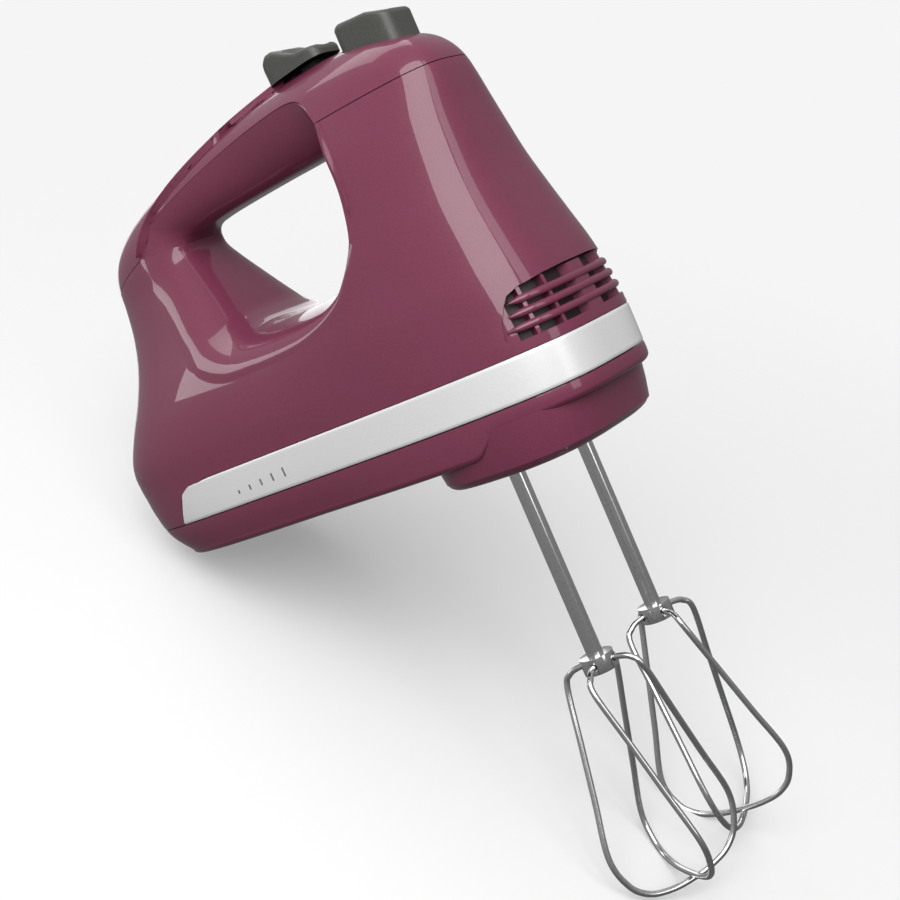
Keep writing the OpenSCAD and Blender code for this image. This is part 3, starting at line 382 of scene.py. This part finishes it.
# Top cover: the plum moulding over the handle and the crown, screwed down from above. Its edge
# is the seam line, and its crown carries the speed slider and the ejector button.
SEAM_GAP, CROWN_TOP = 0.35, 153
SEAM_EDGE = [(math.pi, 108.5)] + [(turn_at(x, z), z) for x, z in
             [on_keys(OPENING_EDGE, CORNER + (KEYS - CORNER) * k / 72) for k in range(73)]] + [(0, 132.3)]


def cover_half(side):
    """One half of the cover, from the seam up to the crown's top edge."""
    turns = np.array([t for t, z in SEAM_EDGE])
    rises = np.array([z for t, z in SEAM_EDGE])
    gaps = np.concatenate([[0], np.cumsum(np.hypot(np.diff(turns) * 60, np.diff(rises)))])
    middle = gaps / gaps[-1]
    wanted = np.concatenate([np.linspace(0, middle[1], 9)[:-1], middle[1:-1],
                             np.linspace(middle[-2], 1, 17)[1:]])
    steps = len(wanted) - 1

    def place(u, v):
        at = wanted[int(round(u * steps))]
        turn, low = np.interp(at, middle, turns), np.interp(at, middle, rises) + SEAM_GAP
        return skin(turn, low + (CROWN_TOP - low) * (1 - (1 - v) ** 1.5), side)
    return sheet("cover_half", steps, 30, place)


top_cover = joined("cover_shell", [cover_half(1), cover_half(-1)])
bpy.ops.object.mode_set(mode="EDIT")
bpy.ops.mesh.select_all(action="DESELECT")
bpy.ops.object.mode_set(mode="OBJECT")
for edge in top_cover.data.edges:
    edge.select = all(top_cover.data.vertices[i].co.z > (CROWN_TOP - 0.1) * MM for i in edge.vertices)
bpy.ops.object.mode_set(mode="EDIT")
bpy.ops.mesh.select_mode(type="EDGE")
bpy.ops.mesh.edge_face_add()
bpy.ops.object.mode_set(mode="OBJECT")
face_outward(top_cover, (10, -12, 145), (0, 0, 1))
apply_modifier(top_cover, "SOLIDIFY", thickness=HOUSING_WALL * MM, offset=-1)
BUTTON_X, BUTTON_LENGTH, BUTTON_WIDTH = 3.0, 25.0, 18.0


def plan_cutter(x, length, width, low, high, square=2):
    """An upright plug with a rounded plan, for cutting a hole."""
    bpy.ops.object.select_all(action="DESELECT")
    bpy.ops.mesh.primitive_cylinder_add(vertices=64, radius=1, depth=1)
    made = bpy.context.object
    for vertex in made.data.vertices:
        a = math.atan2(vertex.co.y, vertex.co.x)
        c, s = math.cos(a), math.sin(a)
        vertex.co = Vector((x + length / 2 * math.copysign(abs(c) ** (1 / square), c),
                            width / 2 * math.copysign(abs(s) ** (1 / square), s),
                            high if vertex.co.z > 0 else low)) * MM
    return made


for hole in (plan_cutter(BUTTON_X, BUTTON_LENGTH + 1, BUTTON_WIDTH + 1, 120, 170),
             plan_cutter(-34, 20, 7, 140, 170, square=4)):
    apply_modifier(top_cover, "BOOLEAN", object=hole, operation="DIFFERENCE", solver="EXACT", use_self=True,
                   use_hole_tolerant=True)
    bpy.data.objects.remove(hole)
shade(top_cover, 40)
belongs(top_cover, "housing", plum_paint, "paint", "top_cover")


# Trim band: a thin satin silver strip that lies in a shallow recess round the body. Its back end
# slopes down to the tail, and five small ticks mark the speeds on its right-hand side.
satin_silver = finish("satin_silver", (0.80, 0.80, 0.80), (0.70, 0.70, 0.70), 0.34, 0.08, 5200, 60, 0.05,
                      metallic=0.2)
BAND_LOW, BAND_HIGH, BAND_PROUD = 21.75, 35.7, 0.12
BAND_END = [(-143.3, 21.75), (-140.3, 26.5), (-135.7, 33), (-130.7, 35.1), (-118.7, 35.7)]


def band_back(z):
    """How far back the band reaches at a height."""
    return np.interp(z, [p[1] for p in BAND_END], [p[0] for p in BAND_END])


def band_half(side):
    """One half of the band, from the nose to its sloping back end."""
    def place(u, v):
        z = BAND_LOW + (BAND_HIGH - BAND_LOW) * v
        u = u ** 1.2
        turn = turn_at(band_back(z), z) * u
        round_in = 0.35 * max(0, 1 - min(v, 1 - v) * (BAND_HIGH - BAND_LOW) / 0.5)
        return skin(turn, z, side, BAND_PROUD - round_in)
    return sheet("band_half", 150, 24, place)


trim_band = joined("silver_band", [band_half(1), band_half(-1)])
face_outward(trim_band, (-40, -43, 28), (0, -1, 0))
apply_modifier(trim_band, "SOLIDIFY", thickness=1.0 * MM, offset=-1)
shade(trim_band, 40)
belongs(trim_band, "housing", satin_silver, "band_silver", "trim_band")

TICK_X, TICK_STEP, TICK_Z, TICK_SIZE = -105.0, 6.4, 27.8, (1.1, 4.0)
tick_grey = finish("tick_grey", (0.16, 0.15, 0.15), (0.13, 0.12, 0.12), 0.5, 0.1, 3000, 60, 0.05)


def speed_tick(index):
    """One tick; each is taller than the one before."""
    tall = TICK_SIZE[1] * (0.4 + 0.15 * index)

    def place(u, v):
        x = TICK_X + TICK_STEP * index + TICK_SIZE[0] * (u - 0.5)
        z = TICK_Z - TICK_SIZE[1] / 2 + tall * v
        edge = 0.04 if 0.01 < u < 0.99 and 0.01 < v < 0.99 else -0.02
        return skin(turn_at(x, z), z, -1, BAND_PROUD + edge)
    return sheet("tick", 4, 6, place)


speed_marks = joined("speed_marks", [speed_tick(k) for k in range(5)])
for face in speed_marks.data.polygons:
    if face.normal.y > 0:
        face.flip()
shade(speed_marks, 40)
belongs(speed_marks, "housing", tick_grey, "moulded_black")


# Bottom housing: the plum tub under the band, with a lip at the nose and the narrower chin
# block below it. The chin has two round holes for the beater shafts.
TUB_TOP, FLOOR_Z, LIP_Z = 21.35, 8.0, 15.0
TUB_ROUND, TUB_PLAN_Z, TUB_HALF = 3.5, 16, 43


def underside(x):
    """Height of the tub's underside, which steps up to the lip over the chin."""
    t = min(1, max(0, x / 14))
    return FLOOR_Z + (LIP_Z - FLOOR_Z) * t * t * (3 - 2 * t)


def tub_place(u, v):
    """A point of the tub: down its side, round its lower edge and in across its underside."""
    a = 2 * math.pi * u
    turn, side = (a, 1) if a <= math.pi else (2 * math.pi - a, -1)
    low = underside(skin(turn, TUB_PLAN_Z, side)[0])
    if v < 0.5:
        z = TUB_TOP + (low + TUB_ROUND * 0.7 - TUB_TOP) * v * 2
        x, y, _ = skin(turn, max(z, FLOOR_Z), side, 0.12 * math.sin(math.pi * v * 2))
        return (x, y, z)
    mid, reach = body_limits(TUB_PLAN_Z)
    b = min(1, (v - 0.5) / 0.25) * math.pi / 2
    z = low + TUB_ROUND * 0.7 * (1 - math.sin(b))
    x, y, _ = skin(turn, max(low + TUB_ROUND * 0.7, FLOOR_Z), side)
    inset = TUB_ROUND * (1 - math.cos(b))
    shrink = 1 - inset / TUB_HALF
    x, y = mid + (x - mid) * (1 - inset / reach), y * shrink
    if v > 0.75:
        keep = 1 - (v - 0.75) / 0.25
        x, y = mid + (x - mid) * keep, y * keep
        z = underside(x) if keep > 0 else FLOOR_Z
    return (x, y, z)


# Height, inset along the length and inset across the width
CHIN = [(0, 12.6, 7.4), (0.5, 11.2, 6.3), (1.3, 9.7, 5.2), (2.4, 8.6, 4.4), (2.6, 8.15, 4.1), (5, 7.7, 3.6),
        (9, 6.9, 3.0), (15, 6.1, 2.4), (17, 6, 2.2)]
CHIN_BACK, CHIN_HALF = -34.0, 41.5


def chin_place(u, v):
    """A point of the chin block: out across its underside, then up its side."""
    steps = len(CHIN) + 2
    k = int(round(v * steps))
    keep = (0.0, 0.8, 0.965)[k] if k < 3 else 1.0
    z, inset, inset_y = CHIN[max(0, k - 3)] if k >= 3 else CHIN[0]
    front, back, wide = NOSE_X + 0.6 - inset, CHIN_BACK + 0.4 * inset, CHIN_HALF - inset_y
    a = 2 * math.pi * u
    c, s = math.cos(a), math.sin(a)
    x = (front - back) / 2 * math.copysign(abs(c) ** (2 / 2.7), c) * keep + (front + back) / 2
    return (x, wide * keep * math.copysign(abs(s) ** (2 / 3), s), z)


tub = joined("tub", [sheet("tub_sheet", 240, 40, tub_place)])
face_outward(tub, (-40, -43, 16), (0, -1, 0))
chin = joined("chin", [sheet("chin_sheet", 144, len(CHIN) + 2, chin_place)])
face_outward(chin, (-10, -38, 8), (0, -1, 0))
for piece in (tub, chin):
    apply_modifier(piece, "SOLIDIFY", thickness=HOUSING_WALL * MM, offset=-1)
AXIS_Y, CHIN_HOLE = 21.5, 5.1
for side in (-1, 1):
    bpy.ops.object.select_all(action="DESELECT")
    bpy.ops.mesh.primitive_cylinder_add(vertices=64, radius=CHIN_HOLE * MM, depth=0.06,
                                        location=(0, side * AXIS_Y * MM, 0))
    hole = bpy.context.object
    for piece in (tub, chin):
        apply_modifier(piece, "BOOLEAN", object=hole, operation="DIFFERENCE", solver="EXACT")
    bpy.data.objects.remove(hole)
for piece in (tub, chin):
    shade(piece, 32)
tub.name, chin.name = "bottom_tub", "chin_block"
belongs(tub, "housing", plum_paint, "paint", "bottom_housing")
belongs(chin, "housing", plum_paint, "paint", "bottom_housing")


# Air grille: moulded into the nose window, with three rounded bars across it, thin ribs
# behind them and slots between; behind the ribs a near-black sheet is painted shade for the slots' dark
# inside.
GRILLE_BARS = [(51.6, 29.6), (47.5, 31.0), (43.2, 32.4)]        # height and half width
GRILLE_MIDDLE_Z, SHADE_SHEET_HALF = 48, 34
BAR_HALF_HEIGHT, BAR_PROUD = 1.35, 0.35
GRILLE_DEPTH, RIB_DEEP = 2.6, -0.7
# Place across the width and half width of each rib
RIBS = [(0, 6.2), (18.05, 0.9), (-18.05, 0.9), (26.5, 0.7), (-26.5, 0.7), (31.8, 1.7), (-31.8, 1.7)]


def turn_for_width(y, z):
    """The turn near the nose at which the body is y wide."""
    low, high = 0.0, 1.4
    for _ in range(40):
        mid = (low + high) / 2
        if skin(mid, z, 1)[1] < y:
            low = mid
        else:
            high = mid
    return low


def grille_bar(level, half):
    """A bar that follows the nose and tapers at both ends."""
    def place(u, v):
        y = half * (2 * u - 1)
        taper = min(1, (1 - abs(2 * u - 1)) / 0.08)
        a = 2 * math.pi * v
        rise = BAR_HALF_HEIGHT * (0.35 + 0.65 * taper) * math.sin(a)
        z = level + rise
        out = (BAR_PROUD * taper - 0.6) + (math.cos(a) - 1) * 1.1 + 0.6
        return skin(turn_for_width(abs(y), level), z, math.copysign(1, y), out)
    return sheet("grille_bar", 90, 14, place)


def grille_back():
    """A sheet behind the ribs, coloured near black as painted shade for the dark inside of the slots."""
    def place(u, v):
        y = SHADE_SHEET_HALF * (2 * u - 1)
        z = 38.6 + 19.2 * v
        return skin(turn_for_width(abs(y), GRILLE_MIDDLE_Z), z, math.copysign(1, y), -GRILLE_DEPTH - 1.6)
    return sheet("grille_back", 90, 12, place)


def grille_rib(middle, half):
    """An upright rib behind the bars."""
    def place(u, v):
        y = middle + half * (2 * u - 1)
        z = 39 + 17.2 * v
        deep = RIB_DEEP if 0.01 < u < 0.99 else -GRILLE_DEPTH - 2
        return skin(turn_for_width(abs(y), GRILLE_MIDDLE_Z), z, math.copysign(1, y), deep)
    return sheet("grille_rib", 6, 10, place)


bars = joined("grille_bars", [grille_bar(*row) for row in GRILLE_BARS])
face_outward(bars, (40, 10, 51.6), (1, 0, 0))
shade(bars, 60)
belongs(bars, "housing", plum_paint, "paint")
# Near-black painted shade, standing in for the shadow inside the grille's slots
grille_painted_shade = finish("grille_shadow", (0.030, 0.014, 0.020), (0.022, 0.010, 0.015), 0.5, 0.1, 1500, 40, 0.05)
ribs = joined("grille_ribs", [grille_rib(*row) for row in RIBS])
face_outward(ribs, (40, 0, 50), (1, 0, 0))
shade(ribs, 30)
belongs(ribs, "housing", plum_paint, "paint")
# The sheet behind the ribs carries the painted shade of the slots' dark inside
shade_sheet = joined("grille_shade_sheet", [grille_back()])
face_outward(shade_sheet, (38, 0, 50), (1, 0, 0))
apply_modifier(shade_sheet, "SOLIDIFY", thickness=0.8 * MM, offset=-1)
shade(shade_sheet, 30)
belongs(shade_sheet, "housing", grille_painted_shade, "paint")


# Speed slider: a moulded graphite knob with a low thumb dish in front of a raised back.
graphite = finish("graphite_plastic", (0.075, 0.075, 0.068), (0.055, 0.055, 0.050), 0.38, 0.12, 1800, 50,
                  0.10, specular=0.45)
SLIDER_FRONT, SLIDER_BASE, SLIDER_TILT = -18.0, 154.0, 2.5
SLIDER_LENGTH, SLIDER_WIDTH = 27.0, 17.0
SLIDER_TOP = [(0.6, 1.5), (0, 3.2), (-2, 4.4), (-5, 4.9), (-9, 5.3), (-12.5, 6.6), (-15.5, 8.8),
              (-18.5, 10.4), (-21.5, 10.5), (-24.2, 9.2), (-26.2, 6.2), (-27, 2.5)]


def knob_sheet(name, length, width, square, top_at, low, dish):
    """A knob with a rounded plan: its side goes up from low, rolls over the edge and crosses the top."""
    edge_drop = 1.6
    def place(u, v):
        a = 2 * math.pi * u
        c, s = math.cos(a), math.sin(a)
        px, py = math.copysign(abs(c) ** (1 / square), c), math.copysign(abs(s) ** (1 / square), s)
        if v < 0.25:
            x, y = px * length / 2, py * width / 2
            edge = top_at(x * 0.97, y * 0.97) - edge_drop
            return (x, y, low + (edge - low) * v * 4)
        if v < 0.5:
            b = (v - 0.25) * 4 * math.pi / 2
            keep = 1 - 0.13 * (1 - math.cos(b))
            x, y = px * keep * length / 2, py * keep * width / 2
            over = top_at(x * 0.97, y * 0.97) - edge_drop * (1 - math.sin(b))
            return (x, y, over - dish(x, y) * (b / (math.pi / 2)))
        keep = 0.87 * (1 - (v - 0.5) * 2)
        x, y = px * keep * length / 2, py * keep * width / 2
        return (x, y, top_at(x, y) - dish(x, y))
    return sheet(name, 96, 48, place)


def slider_top(x, y):
    """Height of the slider's top above its base; the width doesn't change it."""
    return np.interp(-(x - SLIDER_LENGTH / 2), [-p[0] for p in SLIDER_TOP], [p[1] for p in SLIDER_TOP])


def slider_dish(x, y):
    """Depth of the slider's thumb dish."""
    along, over = (x - 4.5) / 8.5, y / 6.6
    return 1.5 * max(0.0, 1 - along * along - over * over) ** 0.8


slider = joined("speed_knob", [knob_sheet("slider_sheet", SLIDER_LENGTH, SLIDER_WIDTH, 2.0, slider_top,
                                          0.5, slider_dish)])
tilt = math.radians(SLIDER_TILT)
for vertex in slider.data.vertices:
    x, y, z = vertex.co.x - SLIDER_LENGTH / 2 * MM, vertex.co.y, vertex.co.z
    vertex.co = (SLIDER_FRONT * MM + x * math.cos(tilt) - z * math.sin(tilt), y,
                 SLIDER_BASE * MM + x * math.sin(tilt) + z * math.cos(tilt))
face_outward(slider, (-35, -8.5, 158), (0, -1, 0))
shade(slider, 50)
belongs(slider, "speed_control", graphite, "knob_graphite", "speed_slider")


# Ejector button: a graphite button in a hole of the crown, scooped for the thumb.
BUTTON_TOP, BUTTON_LOW = 160.0, 144.5


def button_top(x, y):
    """Height of the button's top; the width doesn't change it."""
    return BUTTON_TOP + np.interp(x, [-12.5, -8, -2, 4, 12.5], [-1.2, -0.8, -1.6, -2.2, -5.2])


def button_dish(x, y):
    """Depth of the button's thumb scoop."""
    along, over = (x + 0.5) / 9.5, y / 6.8
    return 1.7 * max(0.0, 1 - along * along - over * over) ** 0.8


button = joined("ejector_knob", [knob_sheet("button_sheet", BUTTON_LENGTH, BUTTON_WIDTH, 2.0, button_top,
                                            BUTTON_LOW, button_dish)])
for vertex in button.data.vertices:
    vertex.co.x += BUTTON_X * MM
face_outward(button, (3, -9, 152), (0, -1, 0))
shade(button, 50)
belongs(button, "ejector", graphite, "knob_graphite", "ejector_button")


# Beaters: a ground stainless shaft with a pressed collar, and two wire loops that cross at the
# bottom. Each wire end sits in a hole in the side of the collar.
polished_steel = finish("polished_steel", (0.78, 0.78, 0.79), (0.72, 0.72, 0.73), 0.16, 0.08, 1200, 70, 0.03,
                        metallic=1.0)
SHAFT_R, COLLAR_R, COLLAR_H, COLLAR_Z = 2.9, 6.1, 5.8, -74.8
WIRE_R, WIRE_Z, LOOP_R, LOOP_H, LOOP_TWIST = 1.1, -71.9, 24.5, 83.0, 42.0
BEATER_TURN = {"left": 61, "right": 13}
LOOP_LOW = WIRE_Z - LOOP_H


def polar(r, turn, z):
    """A point at a radius, a turn in degrees and a height."""
    return np.array([r * math.cos(math.radians(turn)), r * math.sin(math.radians(turn)), z])


def leg_points(base, low):
    """The points of one leg of a loop, from its hole in the collar to near the bottom."""
    top = polar(COLLAR_R + 8.5, base + 2, WIRE_Z - 6)
    wide = polar(LOOP_R, base + LOOP_TWIST, WIRE_Z - 0.75 * LOOP_H)
    rest = WIRE_Z - 0.75 * LOOP_H - low
    return ([polar(COLLAR_R - 1.6, base, WIRE_Z), polar(COLLAR_R + 1.5, base, WIRE_Z),
             polar(COLLAR_R + 5.6, base + 1, WIRE_Z - 1.4)]
            + [top + (wide - top) * t for t in (0, 0.33, 0.67)]
            + [wide, polar(LOOP_R * 0.9, base + LOOP_TWIST + 2, low + rest * 0.45),
               polar(LOOP_R * 0.68, base + LOOP_TWIST + 3, low + rest * 0.16),
               polar(LOOP_R * 0.36, base + LOOP_TWIST + 4, low + rest * 0.03)])


def wire_loop(name, base, low, side):
    """A round wire down one leg, under the middle and up the other leg."""
    keys = leg_points(base, low) + [np.array([0, 0, low])] + leg_points(base + 180, low)[::-1]
    n, path = len(keys) - 1, []
    for i in range(n):
        a, b, c, d = keys[max(i - 1, 0)], keys[i], keys[i + 1], keys[min(i + 2, n)]
        for t in (0, 0.125, 0.25, 0.375, 0.5, 0.625, 0.75, 0.875):
            path.append(smooth_between(a, b, c, d, t))
    path.append(keys[-1])
    curve = bpy.data.curves.new(name, "CURVE")
    curve.dimensions = "3D"
    spline = curve.splines.new("POLY")
    spline.points.add(len(path) - 1)
    for point, p in zip(spline.points, path):
        point.co = (p[0] * MM, (p[1] + side * AXIS_Y) * MM, p[2] * MM, 1)
    curve.bevel_depth = WIRE_R * MM
    curve.bevel_resolution = 4
    curve.use_fill_caps = True
    made = bpy.data.objects.new(name, curve)
    bpy.context.collection.objects.link(made)
    bpy.ops.object.select_all(action="DESELECT")
    made.select_set(True)
    bpy.context.view_layer.objects.active = made
    bpy.ops.object.convert(target="MESH")
    made = joined(name, [bpy.context.object], 0.000001)
    shade(made, 60)
    return made


def collar(name, side, turn):
    """A beater's collar with its four wire holes and softened edges."""
    hole_r = 6.6
    bpy.ops.object.select_all(action="DESELECT")
    bpy.ops.mesh.primitive_cylinder_add(vertices=96, radius=COLLAR_R * MM, depth=COLLAR_H * MM,
                                        location=(0, 0, (COLLAR_Z + COLLAR_H / 2) * MM))
    made = bpy.context.object
    bpy.ops.object.transform_apply(location=True)
    for k in range(4):
        bpy.ops.object.select_all(action="DESELECT")
        a = math.radians(turn + 90 * k)
        spot = (hole_r * math.cos(a) * MM, hole_r * math.sin(a) * MM, WIRE_Z * MM)
        bpy.ops.mesh.primitive_cylinder_add(vertices=32, radius=(WIRE_R + 0.35) * MM, depth=6 * MM,
                                            location=spot, rotation=(0, math.pi / 2, a))
        hole = bpy.context.object
        apply_modifier(made, "BOOLEAN", object=hole, operation="DIFFERENCE", solver="EXACT")
        bpy.data.objects.remove(hole)
    apply_modifier(made, "BEVEL", width=0.55 * MM, segments=3, limit_method="ANGLE",
                   angle_limit=math.radians(50))
    for vertex in made.data.vertices:
        vertex.co.y += side * AXIS_Y * MM
    made.name = name
    shade(made, 40)
    return made


for hand, side in (("left", 1), ("right", -1)):
    turn = BEATER_TURN[hand]
    for letter, extra, lift in (("a", 0, 0.0), ("b", 90, 2 * WIRE_R + 0.3)):
        loop = wire_loop(hand + "_wire_" + letter, turn + extra, LOOP_LOW + lift, side)
        belongs(loop, hand + "_beater", polished_steel, "stainless", hand + "_loop_" + letter)
    belongs(collar(hand + "_collar", side, turn), hand + "_beater", polished_steel, "stainless",
            hand + "_beater_collar")


# Everything inside, and the cord gland: castings, bearings, motor, gears and electrics keep
# their own solids and get the finish of their real material.
INNER_FINISHES = {
    "stainless": polished_steel,
    "paint": plum_paint,
    "band_silver": satin_silver,
    "knob_graphite": graphite,
    "zinc_casting": finish("cast_zinc", (0.47, 0.48, 0.50), (0.36, 0.37, 0.39), 0.5, 0.2, 700, 45, 0.35,
                           metallic=0.9),
    "sintered_bronze": finish("sintered_bronze", (0.52, 0.35, 0.17), (0.38, 0.25, 0.12), 0.48, 0.15, 2200,
                              60, 0.3, metallic=0.9),
    "moulded_black": finish("black_nylon", (0.024, 0.024, 0.024), (0.014, 0.014, 0.014), 0.5, 0.18, 1500,
                            60, 0.18),
    "steel": finish("ground_steel", (0.48, 0.49, 0.51), (0.38, 0.39, 0.41), 0.3, 0.18, 1100, 50, 0.12,
                    metallic=1.0),
    "copper": finish("enamelled_copper", (0.62, 0.27, 0.12), (0.48, 0.19, 0.08), 0.3, 0.15, 1800, 60, 0.25,
                     metallic=0.9, coat=0.4),
    "nylon": finish("natural_nylon", (0.80, 0.78, 0.70), (0.74, 0.72, 0.63), 0.45, 0.12, 900, 40, 0.08),
    "board_green": finish("circuit_board", (0.05, 0.17, 0.07), (0.035, 0.12, 0.05), 0.35, 0.12, 1400, 80,
                          0.12, coat=0.3),
    "capacitor_yellow": finish("capacitor_case", (0.65, 0.45, 0.08), (0.55, 0.37, 0.06), 0.32, 0.1, 1200,
                               60, 0.06)}
for part in frame["record"]["subparts"]:
    node = frame["nodes"][part["node"]]
    node.data.materials.clear()
    node.data.materials.append(INNER_FINISHES[part["material_slot"]])


# Studio: a pale sheet under the tilted mixer, which fades out at its edge, a pale room and
# large soft boxes.
SHEET_NORMAL = Vector((0.72, 0, 0.69)).normalized()
SHEET_POINT = Vector((-0.07, 0, -0.0932))
bpy.ops.object.select_all(action="DESELECT")
bpy.ops.mesh.primitive_circle_add(vertices=96, radius=0.75, fill_type="NGON")
floor = bpy.context.object
floor.name = "studio_floor"
turn_to = SHEET_NORMAL.to_track_quat("Z", "Y")
for vertex in floor.data.vertices:
    vertex.co = turn_to @ vertex.co + SHEET_POINT
floor.visible_diffuse = False
floor.visible_glossy = False
pale, tree, shader = new_material("pale_sheet", (0.62, 0.62, 0.62), 0.9, specular=0.1)
shader.inputs["Emission Color"].default_value = (1, 1, 1, 1)
shader.inputs["Emission Strength"].default_value = 0.21
coords = tree.nodes.new("ShaderNodeTexCoord")
away = tree.nodes.new("ShaderNodeVectorMath")
away.operation = "DISTANCE"
away.inputs[1].default_value = (-0.02, 0, -0.12)
fade = tree.nodes.new("ShaderNodeMapRange")
fade.interpolation_type = "SMOOTHSTEP"
fade.inputs["From Min"].default_value = 0.12
fade.inputs["From Max"].default_value = 0.55
fade.inputs["To Min"].default_value = 1
fade.inputs["To Max"].default_value = 0
tree.links.new(coords.outputs["Object"], away.inputs[0])
tree.links.new(away.outputs["Value"], fade.inputs["Value"])
front_only = tree.nodes.new("ShaderNodeNewGeometry")
shown = tree.nodes.new("ShaderNodeMath")
shown.operation = "SUBTRACT"
shown.use_clamp = True
tree.links.new(fade.outputs["Result"], shown.inputs[0])
tree.links.new(front_only.outputs["Backfacing"], shown.inputs[1])
tree.links.new(shown.outputs[0], shader.inputs["Alpha"])
floor.data.materials.append(pale)

world = bpy.data.worlds.new("studio_room")
bpy.context.scene.world = world
world.use_nodes = True
nodes, links = world.node_tree.nodes, world.node_tree.links
nodes.clear()
seen, room = nodes.new("ShaderNodeBackground"), nodes.new("ShaderNodeBackground")
both = nodes.new("ShaderNodeMixShader")
path, out = nodes.new("ShaderNodeLightPath"), nodes.new("ShaderNodeOutputWorld")
seen.inputs["Color"].default_value = (0.913, 0.913, 0.913, 1)
room.inputs["Strength"].default_value = 1.0
high_low = nodes.new("ShaderNodeSeparateXYZ")
rise = nodes.new("ShaderNodeMapRange")
rise.inputs["From Min"].default_value = -0.6
rise.inputs["From Max"].default_value = 0.9
rise.inputs["To Min"].default_value = 0.12
rise.inputs["To Max"].default_value = 0.46
sky = nodes.new("ShaderNodeTexCoord")
links.new(sky.outputs["Generated"], high_low.inputs[0])
links.new(high_low.outputs["Z"], rise.inputs["Value"])
links.new(rise.outputs["Result"], room.inputs["Color"])
links.new(path.outputs["Is Camera Ray"], both.inputs["Fac"])
links.new(room.outputs["Background"], both.inputs[1])
links.new(seen.outputs["Background"], both.inputs[2])
links.new(both.outputs["Shader"], out.inputs["Surface"])


def soft_box(name, location, target, width, height, radiance):
    """An area light that faces a target, with its power worked out from its size."""
    bpy.ops.object.select_all(action="DESELECT")
    way = Vector(target) - Vector(location)
    bpy.ops.object.light_add(type="AREA", location=location, rotation=way.to_track_quat("-Z", "Y").to_euler())
    lamp = bpy.context.object
    lamp.name = name
    lamp.data.shape = "RECTANGLE"
    lamp.data.size, lamp.data.size_y = width, height
    lamp.data.energy = radiance * math.pi * width * height
    return lamp


soft_box("strip_box", (0.72, -0.78, 0.69), (0, 0, 0.09), 0.95, 1.15, 4.6)
soft_box("heel_box", (-0.92, -0.54, 0.74), (-0.1, 0, 0.08), 0.24, 0.45, 3.2)
soft_box("top_box", (-0.25, 0.15, 1.25), (-0.06, 0, 0.08), 1.1, 0.6, 2.0)
soft_box("back_box", (-0.85, 0.65, 0.5), (-0.06, 0, 0.05), 0.7, 0.7, 1.2)
soft_box("front_box", (1.05, -0.22, 0.42), (-0.03, 0, 0.05), 0.34, 1.3, 2.2)
soft_box("side_fill", (-0.1, -1.25, 0.40), (-0.05, 0, 0.05), 1.2, 0.8, 1.0).visible_glossy = False
